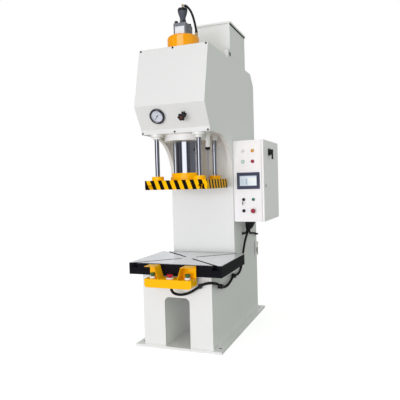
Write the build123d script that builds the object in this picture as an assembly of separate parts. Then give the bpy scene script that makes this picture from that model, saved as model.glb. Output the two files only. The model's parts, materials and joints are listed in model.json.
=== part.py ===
from build123d import *
import math
import os

# Single column (C-frame) hydraulic press with a guided platen, a diagonal-slotted work table,
# a two-hand control station and an electrical cabinet on its right side plate.
# X runs across the press, +X to the operator's right. Y runs from the operator to the rear.
# Z runs up from the floor. The origin is the centre of the anchor hole pattern on the floor.
# All lengths are millimetres, all angles degrees.

# Clearances shared by every piece
CUT = 4.0
SEAT_GAP = 0.2
RUN_GAP = 0.05
FREE_GAP = 0.5

# Frame: two C-shaped side plates on a base plate, tied by cross plates
FRAME_WIDTH = 570.0
SIDE_PLATE = 30.0
BASE_DEPTH = 1375.0
BASE_THICKNESS = 20.0
BASE_SIDE_LIP = 70.0
BASE_FRONT_LIP = 15.0
ANCHOR_HOLE = 24.0
ANCHOR_SIDE_INSET = 36.0
ANCHOR_END_INSET = 78.0
PEDESTAL_TOP = 576.0
PEDESTAL_TOP_PLATE = 40.0
PEDESTAL_FRONT_PLATE = 20.0
KNEE_WIDTH = 206.0
KNEE_HEIGHT = 381.0
KNEE_RADIUS = 38.0
THROAT_DEPTH = 600.0
THROAT_RADIUS = 345.0
THROAT_RECESS = 0.5
THROAT_PLATE = 20.0
THROAT_INNER_RADIUS = 100.0
HEAD_BOTTOM = 1655.0
HEAD_BOTTOM_PLATE = 35.0
HEAD_TOP = 2310.0
HEAD_TOP_PLATE = 20.0
REAR_CHAMFER = 105.0
REAR_PLATE = 12.0
REAR_TOP_FLANGE = 30.0
LUG_SETBACK = 550.0
LUG_LENGTH = 110.0
LUG_HEIGHT = 78.0
LUG_RADIUS = 30.0
LUG_HOLE = 40.0
TANK_FLOOR = 440.0
TANK_HEIGHT = 360.0
TANK_PLATE = 12.0

# Folded front cover of the head
COVER_THICKNESS = 4.0
COVER_TOP_SETBACK = 59.0
COVER_CREASE_REACH = 53.0
COVER_CREASE_HEIGHT = 1860.0
COVER_LIP_SETBACK = 50.0
COVER_SCREW = 8.0
COVER_SCREW_LENGTH = 26.0
COVER_SCREW_HEAD = 15.0
COVER_SCREW_HEAD_HEIGHT = 5.0
COVER_SCREW_EDGE = 10.0

# Cylinder, ram and guide rods
RAM_SETBACK = 275.0
RAM_DIAMETER = 180.0
CYLINDER_BORE = 200.0
CYLINDER_OUTSIDE = 250.0
PISTON_HEIGHT = 90.0
PISTON_REST_SHARE = 0.507
FLANGE_DIAMETER = 350.0
FLANGE_HEIGHT = 50.0
CAP_DIAMETER = 256.0
CAP_HEIGHT = 127.0
CAP_EDGE_RADIUS = 22.0
CAP_RECESS = 40.0
ROD_DIAMETER = 36.0
ROD_TOP_SHARE = 0.522
ROD_SPACING_X = 352.0
ROD_SPACING_Y = 356.0
BUSH_FLANGE = 96.0
BUSH_FLANGE_HEIGHT = 20.0
BUSH_BOSS = 64.0
BUSH_BOSS_HEIGHT = 18.0
BUSH_SLEEVE = 56.0
BUSH_SLEEVE_RISE = 60.0

# Platen with its collars
PLATEN_WIDTH = 520.0
PLATEN_DEPTH = 480.0
PLATEN_HEIGHT = 72.0
PLATEN_REST = 1225.0
RAM_COLLAR = 245.0
RAM_COLLAR_HEIGHT = 55.0
ROD_COLLAR = 95.0
ROD_COLLAR_HEIGHT = 30.0

# Stroke measuring rod beside the ram
STROKE_ROD_OFFSET = 182.0
STROKE_ROD = 9.0
STROKE_ROD_LENGTH = 540.0
STROKE_TUBE = 43.0
STROKE_TUBE_LENGTH = 103.0
STROKE_TUBE_BORE = 15.0
STROKE_TUBE_FLANGE = 60.0
STROKE_TUBE_FLANGE_HEIGHT = 12.0
WIPER_LENGTH = 24.0
WIPER_TIP = 20.0

# Work table and the T-slots that the table and the platen share
TABLE_WIDTH = 760.0
TABLE_DEPTH = 606.0
TABLE_HEIGHT = 90.0
TABLE_OVERHANG = 41.0
TABLE_EDGE = 3.0
SLOT_WIDTH = 22.0
SLOT_NECK = 22.0
SLOT_HEAD_WIDTH = 37.0
SLOT_HEAD_HEIGHT = 16.0
SLOT_EXIT_INSET = 48.0
TABLE_SLOT_START = 60.0
PLATEN_SLOT_START = 130.0

# Prefill valve on the cylinder cap
VALVE_WIDTH = 104.0
VALVE_DEPTH = 142.0
VALVE_HEIGHT = 95.0
BONNET_HEIGHT = 128.0
BONNET_FOOT = 80.0
BONNET_SKIRT = 58.0
BONNET_NECK = 44.0
BONNET_BELLY = 72.0
BONNET_TOP = 71.0
BONNET_SKIRT_SHARE = 0.13
BONNET_NECK_SHARE = 0.33
BONNET_BELLY_SHARE = 0.74
ELBOW_DIAMETER = 12.0
ELBOW_RISE = 35.0
ELBOW_REACH = 24.0
ELBOW_DROP_ANGLE = 30.0
CAP_FITTING = 22.0
CAP_FITTING_HEIGHT = 20.0
CAP_FITTING_INSET = 16.0
HOSE_DIAMETER = 18.0
BLEED_DIAMETER = 11.0
BLEED_HEIGHT = 52.0

# Power unit under its hood on top of the head
HOOD_LEFT = 55.0
HOOD_RIGHT = 255.0
HOOD_SETBACK = 708.0
HOOD_DEPTH = 472.0
HOOD_HEIGHT = 348.0
HOOD_SHEET = 3.0
HOOD_LID_OVERHANG = 8.0
HOOD_LID_SKIRT = 16.0
HOOD_LID_GAP = 12.0
HOOD_FOOT = 18.0
MOTOR_DIAMETER = 190.0
MOTOR_LENGTH = 270.0
MOTOR_AXIS_HEIGHT = 132.0
MOTOR_FOOT_WIDTH = 216.0
MOTOR_FOOT_HEIGHT = 18.0
MOTOR_REAR_GAP = 30.0
PUMP_BELL = 150.0
PUMP_BELL_LENGTH = 60.0
PUMP_DIAMETER = 100.0
PUMP_LENGTH = 85.0

# Pressure gauge and pressure knob on the cover's lower panel
PANEL_DROP = 86.0
GAUGE_OFFSET = 111.0
GAUGE_DIAMETER = 120.0
GAUGE_RISE = 24.0
GAUGE_BODY = 100.0
GAUGE_BODY_DEPTH = 45.0
GAUGE_DIAL = 92.0
GAUGE_DIAL_DEPTH = 14.0
GLASS_THICKNESS = 2.5
GLASS_DROP = 2.0
NEEDLE_LENGTH = 38.0
NEEDLE_WIDTH = 5.0
NEEDLE_HEIGHT = 1.5
NEEDLE_LIFT = 2.0
NEEDLE_HUB = 11.0
NEEDLE_PIN = 5.0
NEEDLE_PIN_LENGTH = 8.0
NEEDLE_REST_ANGLE = 225.0
KNOB_OFFSET = 105.0
KNOB_DIAMETER = 62.0
KNOB_HEIGHT = 30.0
KNOB_LOBES = 6
KNOB_LOBE = 18.0
KNOB_STEM = 20.0
KNOB_STEM_RISE = 38.0
KNOB_STEM_DEPTH = 40.0
LOCK_RING = 48.0
LOCK_RING_HEIGHT = 14.0
LOCK_RING_LOBE = 12.0

# Electrical cabinet on the right side plate
CABINET_STANDOFF = 12.0
CABINET_PAD = 40.0
CABINET_WIDTH = 252.0
CABINET_SETBACK = 621.0
CABINET_DEPTH = 584.0
CABINET_FLOOR = 929.0
CABINET_HEIGHT = 690.0
CABINET_SHEET = 2.5
CABINET_LIP = 14.0
DOOR_PAN = 18.0
DOOR_GAP = 1.5
HINGE_DIAMETER = 12.0
HINGE_PIN = 6.0
HINGE_KNUCKLE = 24.0
HINGE_OFFSET = 7.5
HINGE_INSET = 70.0
HINGE_WEB = 5.0
GEAR_PLATE = 3.0
GEAR_PLATE_STANDOFF = 20.0
GEAR_PLATE_INSET = 40.0
GEAR_DEPTH = 95.0
GEAR_ROW_HEIGHT = 90.0
GEAR_ROW_SHARES = (0.20, 0.50, 0.78)
GEAR_WIDTH_SHARES = (0.80, 0.62, 0.74)

# Controls on the cabinet's narrow front side
CONTROLS = ("power_lamp", "ready_lamp", "start", "stop", "key", "reset", "selector", "estop")
COLUMN_LEFT = 73.0
COLUMN_RIGHT = 158.0
ROW_LAMPS = 600.0
ROW_PUSH = 510.0
ROW_KEY = 189.0
ROW_SELECT = 93.0
SCREEN_WIDTH = 198.0
SCREEN_HEIGHT = 141.0
SCREEN_RISE = 7.0
SCREEN_LEFT = 18.0
SCREEN_FLOOR = 277.0
GLASS_WIDTH = 146.0
GLASS_HEIGHT = 84.0
GLASS_RECESS = 1.5
BEZEL = 30.0
BEZEL_HEIGHT = 8.0
BUTTON = 22.0
BUTTON_RISE = 4.0
BUTTON_HEIGHT = 7.0
BUTTON_STEM = 10.0
BUTTON_STEM_DEPTH = 24.0
LAMP_DOME = 8.0
KEY_WIDTH = 22.0
KEY_LENGTH = 26.0
KEY_THICKNESS = 3.0
SELECTOR_LEVER = 9.0
SELECTOR_RISE = 14.0
MUSHROOM = 40.0
MUSHROOM_HEIGHT = 16.0
MUSHROOM_LIFT = 9.0

# Main switch and lock on the cabinet door
SWITCH_SETBACK = 204.0
SWITCH_HEIGHT = 592.0
SWITCH_BASE = 60.0
SWITCH_BASE_RISE = 12.0
SWITCH_DIAL = 46.0
SWITCH_DIAL_RISE = 12.0
SWITCH_LEVER_WIDTH = 13.0
SWITCH_LEVER_LENGTH = 62.0
SWITCH_LEVER_RISE = 14.0
SWITCH_STEM = 10.0
LOCK_SETBACK = 61.0
LOCK_HEIGHT = 303.0
LOCK_FLANGE = 30.0
LOCK_FLANGE_RISE = 6.0
LOCK_BARREL = 20.0
LOCK_BARREL_DEPTH = 12.0
LOCK_CAM_LENGTH = 34.0
LOCK_CAM_WIDTH = 14.0
LOCK_CAM_THICKNESS = 3.0
LOCK_KEYWAY_WIDTH = 4.0
LOCK_KEYWAY_LENGTH = 12.0

# Cable boot, conduits and level gauge on the right side plate
BOOT_OFFSET = 31.0
BOOT_LEAN = 24.0
BOOT_SETBACK = 279.0
BOOT_TOP = 108.0
BOOT_BOTTOM = 48.0
BOOT_HEIGHT = 91.0
CONDUIT = 16.0
CLIP_WIDTH = 14.0
CLIP_WALL = 4.0
GLAND = 26.0
GLAND_LENGTH = 8.0
ARC_SHARE = 0.45
LEVEL_INSET = 70.0
LEVEL_FLOOR = 542.0
LEVEL_HEIGHT = 131.0
LEVEL_WIDTH = 30.0
LEVEL_RISE = 28.0
LEVEL_WINDOW = 14.0
LEVEL_END = 24.0

# Two-hand control station in front of the table
STATION_WIDTH = 376.0
STATION_FRONT = 165.0
STATION_BACK = 50.0
STATION_FLOOR = 508.0
STATION_HEIGHT = 63.0
STATION_RADIUS = 22.0
STATION_SHEET = 2.5
GUARD_HEIGHT = 92.0
GUARD_FOOT = 76.0
GUARD_SHOULDER = 104.0
GUARD_FRONT_INSET = 5.0
GUARD_BACK_INSET = 10.0
BRACKET_OFFSET = 120.0
BRACKET_WIDTH = 40.0
BRACKET_RISE = 46.0
PALM_OFFSET = 141.0
PALM_SETBACK = 115.0
PALM_BEZEL = 44.0
PALM_BEZEL_HEIGHT = 14.0
PALM_HEAD = 40.0
PALM_HEIGHT = 20.0
PALM_LIFT = 7.0
PALM_STEM = 28.0
STOP_BEZEL = 56.0
STOP_BEZEL_HEIGHT = 8.0
STATION_STOP = 48.0

# Conduit routes, chosen by hand: from the station to the boot, into the side plate, and to the rear.
# Each point is (right of the side plate's face, behind the frame's front, above the floor).
STATION_ROUTE = [
    (-280, -107.5, 508), (-280, -107.5, 488), (-273, -97.5, 464), (-251, -77.5, 446), (-209, -53.5, 440),
    (-159, -33.5, 456), (-109, -24.5, 488), (-61, -24.5, 520), (-13, -21.5, 532), (21, 0.5, 528),
    (32, 38.5, 514), (28, 102.5, 488), (22, 182.5, 460), (19, 262.5, 444), (19, 342.5, 446),
    (21, 412.5, 468), (22, 467.5, 488), (21, 532.5, 486), (19, 602.5, 478), (18, 667.5, 484),
    (18, 720.5, 514), (19, 754.5, 572), (23, 784.5, 650), (29, 824, 736), (32, 876, 784),
    (33, 911, 812), (33, 911, 838),
]
STUB_ROUTE = [
    (33, 889, 838), (33, 889, 826), (30, 880, 812), (22, 864, 804), (12, 852, 802), (0, 852, 802),
]
REAR_ROUTE = [
    (53, 900, 838), (53, 900, 822), (52, 914, 804), (46, 962, 792), (36, 1040, 786),
    (27, 1122, 778), (22, 1202.5, 766), (22, 1260.5, 755), (25, 1290.5, 750), (25, 1309.5, 748),
    (14.6, 1319.9, 747.5), (0, 1319.9, 747.5),
]
VALVE_HOSE_SHARES = [
    (0.0, 1.0), (0.145, 0.966), (0.353, 0.892), (0.55, 0.771), (0.709, 0.614), (0.836, 0.43),
    (0.934, 0.238), (1.0, 0.09), (1.0, 0.0),
]
CLIP_RUNS = (6, 11, 16)

# Places worked out from the sizes above
FRONT_Y = BASE_FRONT_LIP - BASE_DEPTH / 2
REAR_Y = BASE_DEPTH / 2
HALF_WIDTH = FRAME_WIDTH / 2
INNER_X = HALF_WIDTH - SIDE_PLATE
COLUMN_Y = FRONT_Y + THROAT_DEPTH
THROAT_Y = COLUMN_Y + THROAT_RECESS
RAM_Y = FRONT_Y + RAM_SETBACK
PLATEN_TOP = PLATEN_REST + PLATEN_HEIGHT
TABLE_TOP = PEDESTAL_TOP + TABLE_HEIGHT
TABLE_Y = FRONT_Y - TABLE_OVERHANG + TABLE_DEPTH / 2
CAP_TOP = HEAD_TOP + CAP_HEIGHT
VALVE_TOP = CAP_TOP + VALVE_HEIGHT
ELBOW_CENTRE = VALVE_TOP + BONNET_HEIGHT + ELBOW_RISE
CABINET_X = HALF_WIDTH + CABINET_STANDOFF
CABINET_Y = FRONT_Y + CABINET_SETBACK
CABINET_REAR = CABINET_Y + CABINET_DEPTH
CABINET_TOP = CABINET_FLOOR + CABINET_HEIGHT
DOOR_FACE = CABINET_X + CABINET_WIDTH
DOOR_BACK = DOOR_FACE - DOOR_PAN
BOX_EDGE = DOOR_BACK - DOOR_GAP
STATION_TOP = STATION_FLOOR + STATION_HEIGHT
COVER_LINE = [
    (FRONT_Y + COVER_TOP_SETBACK, HEAD_TOP),
    (FRONT_Y - COVER_CREASE_REACH, COVER_CREASE_HEIGHT),
    (FRONT_Y + COVER_LIP_SETBACK, HEAD_BOTTOM + HEAD_BOTTOM_PLATE),
    (FRONT_Y + COVER_LIP_SETBACK, HEAD_BOTTOM),
]
ROD_PLACES = [
    (sx * ROD_SPACING_X / 2, RAM_Y + sy * ROD_SPACING_Y / 2) for sx in (-1, 1) for sy in (-1, 1)
]


# Shapes that several pieces are made from

def block(x0, x1, y0, y1, z0, z1):
    """A box between two corners."""
    return Pos((x0 + x1) / 2, (y0 + y1) / 2, (z0 + z1) / 2) * Box(x1 - x0, y1 - y0, z1 - z0)


def upright(x, y, z0, z1, diameter):
    """A round bar along Z."""
    return Pos(x, y, (z0 + z1) / 2) * Cylinder(diameter / 2, z1 - z0)


def lengthwise(x, z, y0, y1, diameter):
    """A round bar along Y."""
    return Pos(x, (y0 + y1) / 2, z) * Rot(90, 0, 0) * Cylinder(diameter / 2, y1 - y0)


def crosswise(y, z, x0, x1, diameter):
    """A round bar along X."""
    return Pos((x0 + x1) / 2, y, z) * Rot(0, 90, 0) * Cylinder(diameter / 2, x1 - x0)


def slab(points, x0, x1):
    """A flat outline of (Y, Z) points given thickness along X."""
    face = Plane.YZ * make_face(Polyline(*points, close=True))
    return Pos(x0, 0, 0) * extrude(face, amount=x1 - x0, dir=(1, 0, 0))


def turned(points):
    """A profile of (radius, height) points turned about Z."""
    return revolve(Plane.XZ * make_face(Polyline(*points, close=True)), Axis.Z)


def parallel_line(points, distance):
    """An open line of 2-D points moved to its left by a distance, its corners kept sharp."""
    normals = []
    for (x0, y0), (x1, y1) in zip(points, points[1:]):
        run = math.hypot(x1 - x0, y1 - y0)
        normals.append(((y0 - y1) / run, (x1 - x0) / run))
    moved = []
    for index, (x, y) in enumerate(points):
        before = normals[max(index - 1, 0)]
        after = normals[min(index, len(normals) - 1)]
        scale = distance / (1 + before[0] * after[0] + before[1] * after[1])
        moved.append((x + (before[0] + after[0]) * scale, y + (before[1] + after[1]) * scale))
    return moved


def folded_sheet(points, thickness, half_width):
    """A sheet folded along a line of (Y, Z) points, its thickness on the line's left."""
    return slab(points + parallel_line(points, thickness)[::-1], -half_width, half_width)


def tube_along(route, diameter):
    """A round tube along straight runs joined by the largest arcs that the runs allow."""
    points = [Vector(*point) for point in route]
    radii = []
    for before, corner, after in zip(points, points[1:], points[2:]):
        turn = math.radians((corner - before).get_angle(after - corner))
        shorter = min((corner - before).length, (after - corner).length)
        radii.append(shorter * ARC_SHARE / math.tan(turn / 2))
    path = FilletPolyline(*points, radius=radii)
    section = Plane(points[0], z_dir=points[1] - points[0]) * Circle(diameter / 2)
    print("tube", round(path.length), "long, smallest arc", round(min(radii)))
    return sweep(section, path=path)


def panel_plane():
    """The outer face of the cover's lower panel: local Y runs up the panel, local Z points out of it."""
    (y0, z0), (y1, z1) = COVER_LINE[1], COVER_LINE[2]
    return Plane((0, y0, z0), x_dir=(1, 0, 0), z_dir=(0, z1 - z0, y0 - y1))


def save(name, *pieces):
    """Writes one node, as one solid or as a group of separate solids."""
    shape = pieces[0] if len(pieces) == 1 else Compound(children=list(pieces))
    export_step(shape, os.path.join("parts", name + ".step"))


# Frame

def base_plate():
    half_x = HALF_WIDTH + BASE_SIDE_LIP
    half_y = BASE_DEPTH / 2
    plate = block(-half_x, half_x, -half_y, half_y, 0, BASE_THICKNESS)
    for side in (-1, 1):
        for end in (-1, 1):
            x = side * (half_x - ANCHOR_SIDE_INSET)
            y = end * (half_y - ANCHOR_END_INSET)
            plate -= upright(x, y, -CUT, BASE_THICKNESS + CUT, ANCHOR_HOLE)
    return plate


def cover_screw_places():
    """A location for each cover screw, at the cover's outer face with Z pointing out of it."""
    (y0, z0), (y1, z1) = COVER_LINE[0], COVER_LINE[1]
    share = COVER_SCREW_EDGE / math.hypot(y1 - y0, z1 - z0)
    upper = (y0 + (y1 - y0) * share, z0 + (z1 - z0) * share)
    lower = (COVER_LINE[3][0], COVER_LINE[3][1] + COVER_SCREW_EDGE)
    places = []
    for x in (-HALF_WIDTH + SIDE_PLATE / 2, 0, HALF_WIDTH - SIDE_PLATE / 2):
        places.append(Plane((x, *upper), x_dir=(1, 0, 0), z_dir=(0, z1 - z0, y0 - y1)).location)
        places.append(Plane((x, *lower), x_dir=(1, 0, 0), z_dir=(0, -1, 0)).location)
    return places


def drill_cover_screws(piece):
    """Cuts the hole of every cover screw that reaches the piece."""
    length = COVER_SCREW_LENGTH - COVER_SCREW_HEAD_HEIGHT + CUT
    for place in cover_screw_places():
        hole = Cylinder(COVER_SCREW / 2 + SEAT_GAP, length)
        piece -= place * Pos(0, 0, CUT - length / 2 - SEAT_GAP) * hole
    return piece


def side_plate(x0):
    inner = parallel_line(COVER_LINE, COVER_THICKNESS)
    corner = (COLUMN_Y - THROAT_RADIUS, HEAD_BOTTOM - THROAT_RADIUS)
    reach = THROAT_RADIUS * math.sqrt(2) / 2
    arc = ThreePointArc(
        (corner[0], HEAD_BOTTOM), (corner[0] + reach, corner[1] + reach), (COLUMN_Y, corner[1])
    )
    rim = Polyline(
        (COLUMN_Y, corner[1]), (COLUMN_Y, PEDESTAL_TOP), (FRONT_Y, PEDESTAL_TOP), (FRONT_Y, BASE_THICKNESS),
        (REAR_Y, BASE_THICKNESS), (REAR_Y, HEAD_TOP - REAR_CHAMFER), (REAR_Y - REAR_CHAMFER, HEAD_TOP),
        (inner[0][0], HEAD_TOP), *inner, (corner[0], HEAD_BOTTOM),
    )
    plate = Pos(x0, 0, 0) * extrude(Plane.YZ * make_face([arc, rim]), amount=SIDE_PLATE, dir=(1, 0, 0))
    lug_y = FRONT_Y + LUG_SETBACK
    lug = block(x0, x0 + SIDE_PLATE, lug_y, lug_y + LUG_LENGTH, HEAD_TOP, HEAD_TOP + LUG_HEIGHT)
    lug = fillet(lug.edges().filter_by(Axis.X).group_by(Axis.Z)[-1], LUG_RADIUS)
    plate += lug
    plate -= crosswise(
        lug_y + LUG_LENGTH / 2, HEAD_TOP + LUG_HEIGHT / 2, x0 - CUT, x0 + SIDE_PLATE + CUT, LUG_HOLE
    )
    return drill_cover_screws(plate)


def pedestal_front_plate():
    top = PEDESTAL_TOP - PEDESTAL_TOP_PLATE
    plate = block(-INNER_X, INNER_X, FRONT_Y, FRONT_Y + PEDESTAL_FRONT_PLATE, BASE_THICKNESS, top)
    knee = block(
        -KNEE_WIDTH / 2, KNEE_WIDTH / 2, FRONT_Y - CUT, FRONT_Y + PEDESTAL_FRONT_PLATE + CUT,
        BASE_THICKNESS - CUT, BASE_THICKNESS + KNEE_HEIGHT,
    )
    return plate - fillet(knee.edges().filter_by(Axis.Y).group_by(Axis.Z)[-1], KNEE_RADIUS)


def pedestal_top_plate():
    return block(-INNER_X, INNER_X, FRONT_Y, THROAT_Y, PEDESTAL_TOP - PEDESTAL_TOP_PLATE, PEDESTAL_TOP)


def throat_plate():
    centre = (THROAT_Y - THROAT_INNER_RADIUS, HEAD_BOTTOM - THROAT_INNER_RADIUS)
    diagonal = math.sqrt(2) / 2
    arcs = []
    for radius in (THROAT_INNER_RADIUS, THROAT_INNER_RADIUS + THROAT_PLATE):
        middle = (centre[0] + radius * diagonal, centre[1] + radius * diagonal)
        arcs.append(ThreePointArc((centre[0] + radius, centre[1]), middle, (centre[0], centre[1] + radius)))
    front, back = THROAT_Y, THROAT_Y + THROAT_PLATE
    foot = Polyline((front, centre[1]), (front, BASE_THICKNESS), (back, BASE_THICKNESS), (back, centre[1]))
    end = Line(arcs[0] @ 1, arcs[1] @ 1)
    face = Plane.YZ * make_face([*arcs, foot, end])
    return Pos(-INNER_X, 0, 0) * extrude(face, amount=2 * INNER_X, dir=(1, 0, 0))


def head_bottom_plate():
    front = COVER_LINE[3][0] + COVER_THICKNESS
    top = HEAD_BOTTOM + HEAD_BOTTOM_PLATE
    low, high = HEAD_BOTTOM - CUT, top + CUT
    plate = block(-INNER_X, INNER_X, front, THROAT_Y - THROAT_INNER_RADIUS, HEAD_BOTTOM, top)
    plate -= upright(0, RAM_Y, low, high, CYLINDER_OUTSIDE + 2 * SEAT_GAP)
    plate -= upright(STROKE_ROD_OFFSET, RAM_Y, low, high, STROKE_TUBE_BORE)
    for x, y in ROD_PLACES:
        plate -= upright(x, y, low, high, BUSH_SLEEVE + 2 * SEAT_GAP)
    return drill_cover_screws(plate)


def head_top_plate():
    front = parallel_line(COVER_LINE, COVER_THICKNESS)[0][0]
    rear = REAR_Y - REAR_CHAMFER - REAR_TOP_FLANGE
    plate = block(-INNER_X, INNER_X, front, rear, HEAD_TOP - HEAD_TOP_PLATE, HEAD_TOP)
    floor = HEAD_TOP - HEAD_TOP_PLATE
    plate -= upright(0, RAM_Y, floor - CUT, HEAD_TOP + CUT, CYLINDER_OUTSIDE + 2 * SEAT_GAP)
    return drill_cover_screws(plate)


def rear_plate():
    line = [
        (REAR_Y, BASE_THICKNESS), (REAR_Y, HEAD_TOP - REAR_CHAMFER), (REAR_Y - REAR_CHAMFER, HEAD_TOP),
        (REAR_Y - REAR_CHAMFER - REAR_TOP_FLANGE, HEAD_TOP),
    ]
    return folded_sheet(line, REAR_PLATE, INNER_X)


def tank_bulkheads():
    """The tank's floor and roof in the column, and the walls beside the knee space."""
    front, rear = THROAT_Y + THROAT_PLATE, REAR_Y - REAR_PLATE
    plates = []
    for floor in (TANK_FLOOR, TANK_FLOOR + TANK_HEIGHT):
        plates.append(block(-INNER_X, INNER_X, front, rear, floor, floor + TANK_PLATE))
    knee, top = FRONT_Y + PEDESTAL_FRONT_PLATE, PEDESTAL_TOP - PEDESTAL_TOP_PLATE
    for x in (-KNEE_WIDTH / 2 - TANK_PLATE, KNEE_WIDTH / 2):
        plates.append(block(x, x + TANK_PLATE, knee, THROAT_Y, BASE_THICKNESS, top))
    return plates


def front_cover():
    cover = folded_sheet(COVER_LINE, COVER_THICKNESS, HALF_WIDTH)
    for x, diameter in ((-GAUGE_OFFSET, GAUGE_BODY), (KNOB_OFFSET, KNOB_STEM)):
        hole = Pos(x, -PANEL_DROP, 0) * Cylinder(diameter / 2 + FREE_GAP, 2 * (COVER_THICKNESS + CUT))
        cover -= panel_plane() * hole
    return drill_cover_screws(cover)


def cover_screws():
    head = Pos(0, 0, COVER_SCREW_HEAD_HEIGHT / 2) * Cylinder(COVER_SCREW_HEAD / 2, COVER_SCREW_HEAD_HEIGHT)
    head = fillet(head.edges().group_by(Axis.Z)[-1], COVER_SCREW_HEAD_HEIGHT / 2)
    shank_length = COVER_SCREW_LENGTH - COVER_SCREW_HEAD_HEIGHT
    screw = head + Pos(0, 0, -shank_length / 2) * Cylinder(COVER_SCREW / 2, shank_length)
    return [place * screw for place in cover_screw_places()]


# Cylinder, ram, platen and guides

def cylinder_barrel():
    barrel = upright(0, RAM_Y, HEAD_BOTTOM, HEAD_TOP, CYLINDER_OUTSIDE)
    return barrel - upright(0, RAM_Y, HEAD_BOTTOM - CUT, HEAD_TOP + CUT, CYLINDER_BORE)


def cylinder_flange():
    foot = HEAD_BOTTOM - FLANGE_HEIGHT
    flange = upright(0, RAM_Y, foot, HEAD_BOTTOM, FLANGE_DIAMETER)
    for x, y in ROD_PLACES:
        flange -= upright(x, y, foot - CUT, HEAD_BOTTOM + CUT, BUSH_FLANGE + 2 * FREE_GAP)
    return flange - upright(0, RAM_Y, foot - CUT, HEAD_BOTTOM + CUT, RAM_DIAMETER + 2 * RUN_GAP)


def cylinder_cap():
    cap = upright(0, RAM_Y, HEAD_TOP, CAP_TOP, CAP_DIAMETER)
    cap = fillet(cap.edges().group_by(Axis.Z)[-1], CAP_EDGE_RADIUS)
    return cap - upright(0, RAM_Y, HEAD_TOP - CUT, HEAD_TOP + CAP_RECESS, CYLINDER_BORE)


def ram():
    piston_floor = HEAD_BOTTOM + (HEAD_TOP - HEAD_BOTTOM) * PISTON_REST_SHARE
    rod = upright(0, RAM_Y, PLATEN_TOP, piston_floor, RAM_DIAMETER)
    piston = upright(0, RAM_Y, piston_floor, piston_floor + PISTON_HEIGHT, CYLINDER_BORE - 2 * RUN_GAP)
    return rod + piston


def diagonal_slots(width, depth, start):
    """Four T-slots in the underside of Z = 0, each from near the middle out past a corner."""
    exit_x, exit_y = width / 2 - SLOT_EXIT_INSET, depth / 2
    reach = math.hypot(exit_x, exit_y) + SLOT_HEAD_WIDTH
    length = reach - start
    neck = Pos(start + length / 2, 0, (CUT - SLOT_NECK) / 2) * Box(length, SLOT_WIDTH, SLOT_NECK + CUT)
    head = Pos(start + length / 2, 0, -SLOT_NECK - SLOT_HEAD_HEIGHT / 2)
    head = head * Box(length, SLOT_HEAD_WIDTH, SLOT_HEAD_HEIGHT)
    slots = []
    for side in (-1, 1):
        for end in (-1, 1):
            heading = math.degrees(math.atan2(end * exit_y, side * exit_x))
            slots.append(Rot(0, 0, heading) * (neck + head))
    return slots


def platen():
    half_x, half_y = PLATEN_WIDTH / 2, PLATEN_DEPTH / 2
    plate = block(-half_x, half_x, RAM_Y - half_y, RAM_Y + half_y, PLATEN_REST, PLATEN_TOP)
    for slot in diagonal_slots(PLATEN_WIDTH, PLATEN_DEPTH, PLATEN_SLOT_START):
        plate -= Pos(0, RAM_Y, PLATEN_REST) * Rot(180, 0, 0) * slot
    return plate


def collar(x, y, outside, height, shaft):
    ring = upright(x, y, PLATEN_TOP, PLATEN_TOP + height, outside)
    return ring - upright(x, y, PLATEN_TOP - CUT, PLATEN_TOP + height + CUT, shaft + 2 * SEAT_GAP)


def platen_collars():
    collars = [collar(0, RAM_Y, RAM_COLLAR, RAM_COLLAR_HEIGHT, RAM_DIAMETER)]
    top = PLATEN_TOP + ROD_COLLAR_HEIGHT
    clear = upright(0, RAM_Y, PLATEN_TOP - CUT, top + CUT, RAM_COLLAR + 2 * SEAT_GAP)
    for x, y in ROD_PLACES:
        collars.append(collar(x, y, ROD_COLLAR, ROD_COLLAR_HEIGHT, ROD_DIAMETER) - clear)
    return collars


def guide_rods():
    top = HEAD_BOTTOM + (HEAD_TOP - HEAD_BOTTOM) * ROD_TOP_SHARE
    return [upright(x, y, PLATEN_TOP, top, ROD_DIAMETER) for x, y in ROD_PLACES]


def guide_bushes():
    top = HEAD_BOTTOM + HEAD_BOTTOM_PLATE + BUSH_SLEEVE_RISE
    step = HEAD_BOTTOM - BUSH_FLANGE_HEIGHT
    foot = step - BUSH_BOSS_HEIGHT
    bushes = []
    for x, y in ROD_PLACES:
        bush = upright(x, y, step, HEAD_BOTTOM, BUSH_FLANGE)
        bush += upright(x, y, foot, step, BUSH_BOSS)
        bush += upright(x, y, HEAD_BOTTOM, top, BUSH_SLEEVE)
        bushes.append(bush - upright(x, y, foot - CUT, top + CUT, ROD_DIAMETER + 2 * RUN_GAP))
    return bushes


def stroke_guide():
    x, foot = STROKE_ROD_OFFSET, HEAD_BOTTOM - STROKE_TUBE_LENGTH
    guide = upright(x, RAM_Y, foot, HEAD_BOTTOM, STROKE_TUBE)
    guide += upright(x, RAM_Y, HEAD_BOTTOM - STROKE_TUBE_FLANGE_HEIGHT, HEAD_BOTTOM, STROKE_TUBE_FLANGE)
    guide -= upright(x, RAM_Y, foot - CUT, HEAD_BOTTOM + CUT, STROKE_TUBE_BORE)
    return guide - upright(0, RAM_Y, foot, HEAD_BOTTOM + CUT, FLANGE_DIAMETER + 2 * FREE_GAP)


def stroke_wiper():
    top = HEAD_BOTTOM - STROKE_TUBE_LENGTH
    bore = STROKE_ROD / 2 + RUN_GAP
    profile = [
        (bore, top - WIPER_LENGTH), (WIPER_TIP / 2, top - WIPER_LENGTH),
        (STROKE_TUBE / 2, top - WIPER_LENGTH / 2), (STROKE_TUBE / 2, top), (bore, top),
    ]
    return Pos(STROKE_ROD_OFFSET, RAM_Y, 0) * turned(profile)


def stroke_rod():
    return upright(STROKE_ROD_OFFSET, RAM_Y, PLATEN_TOP, PLATEN_TOP + STROKE_ROD_LENGTH, STROKE_ROD)


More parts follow.
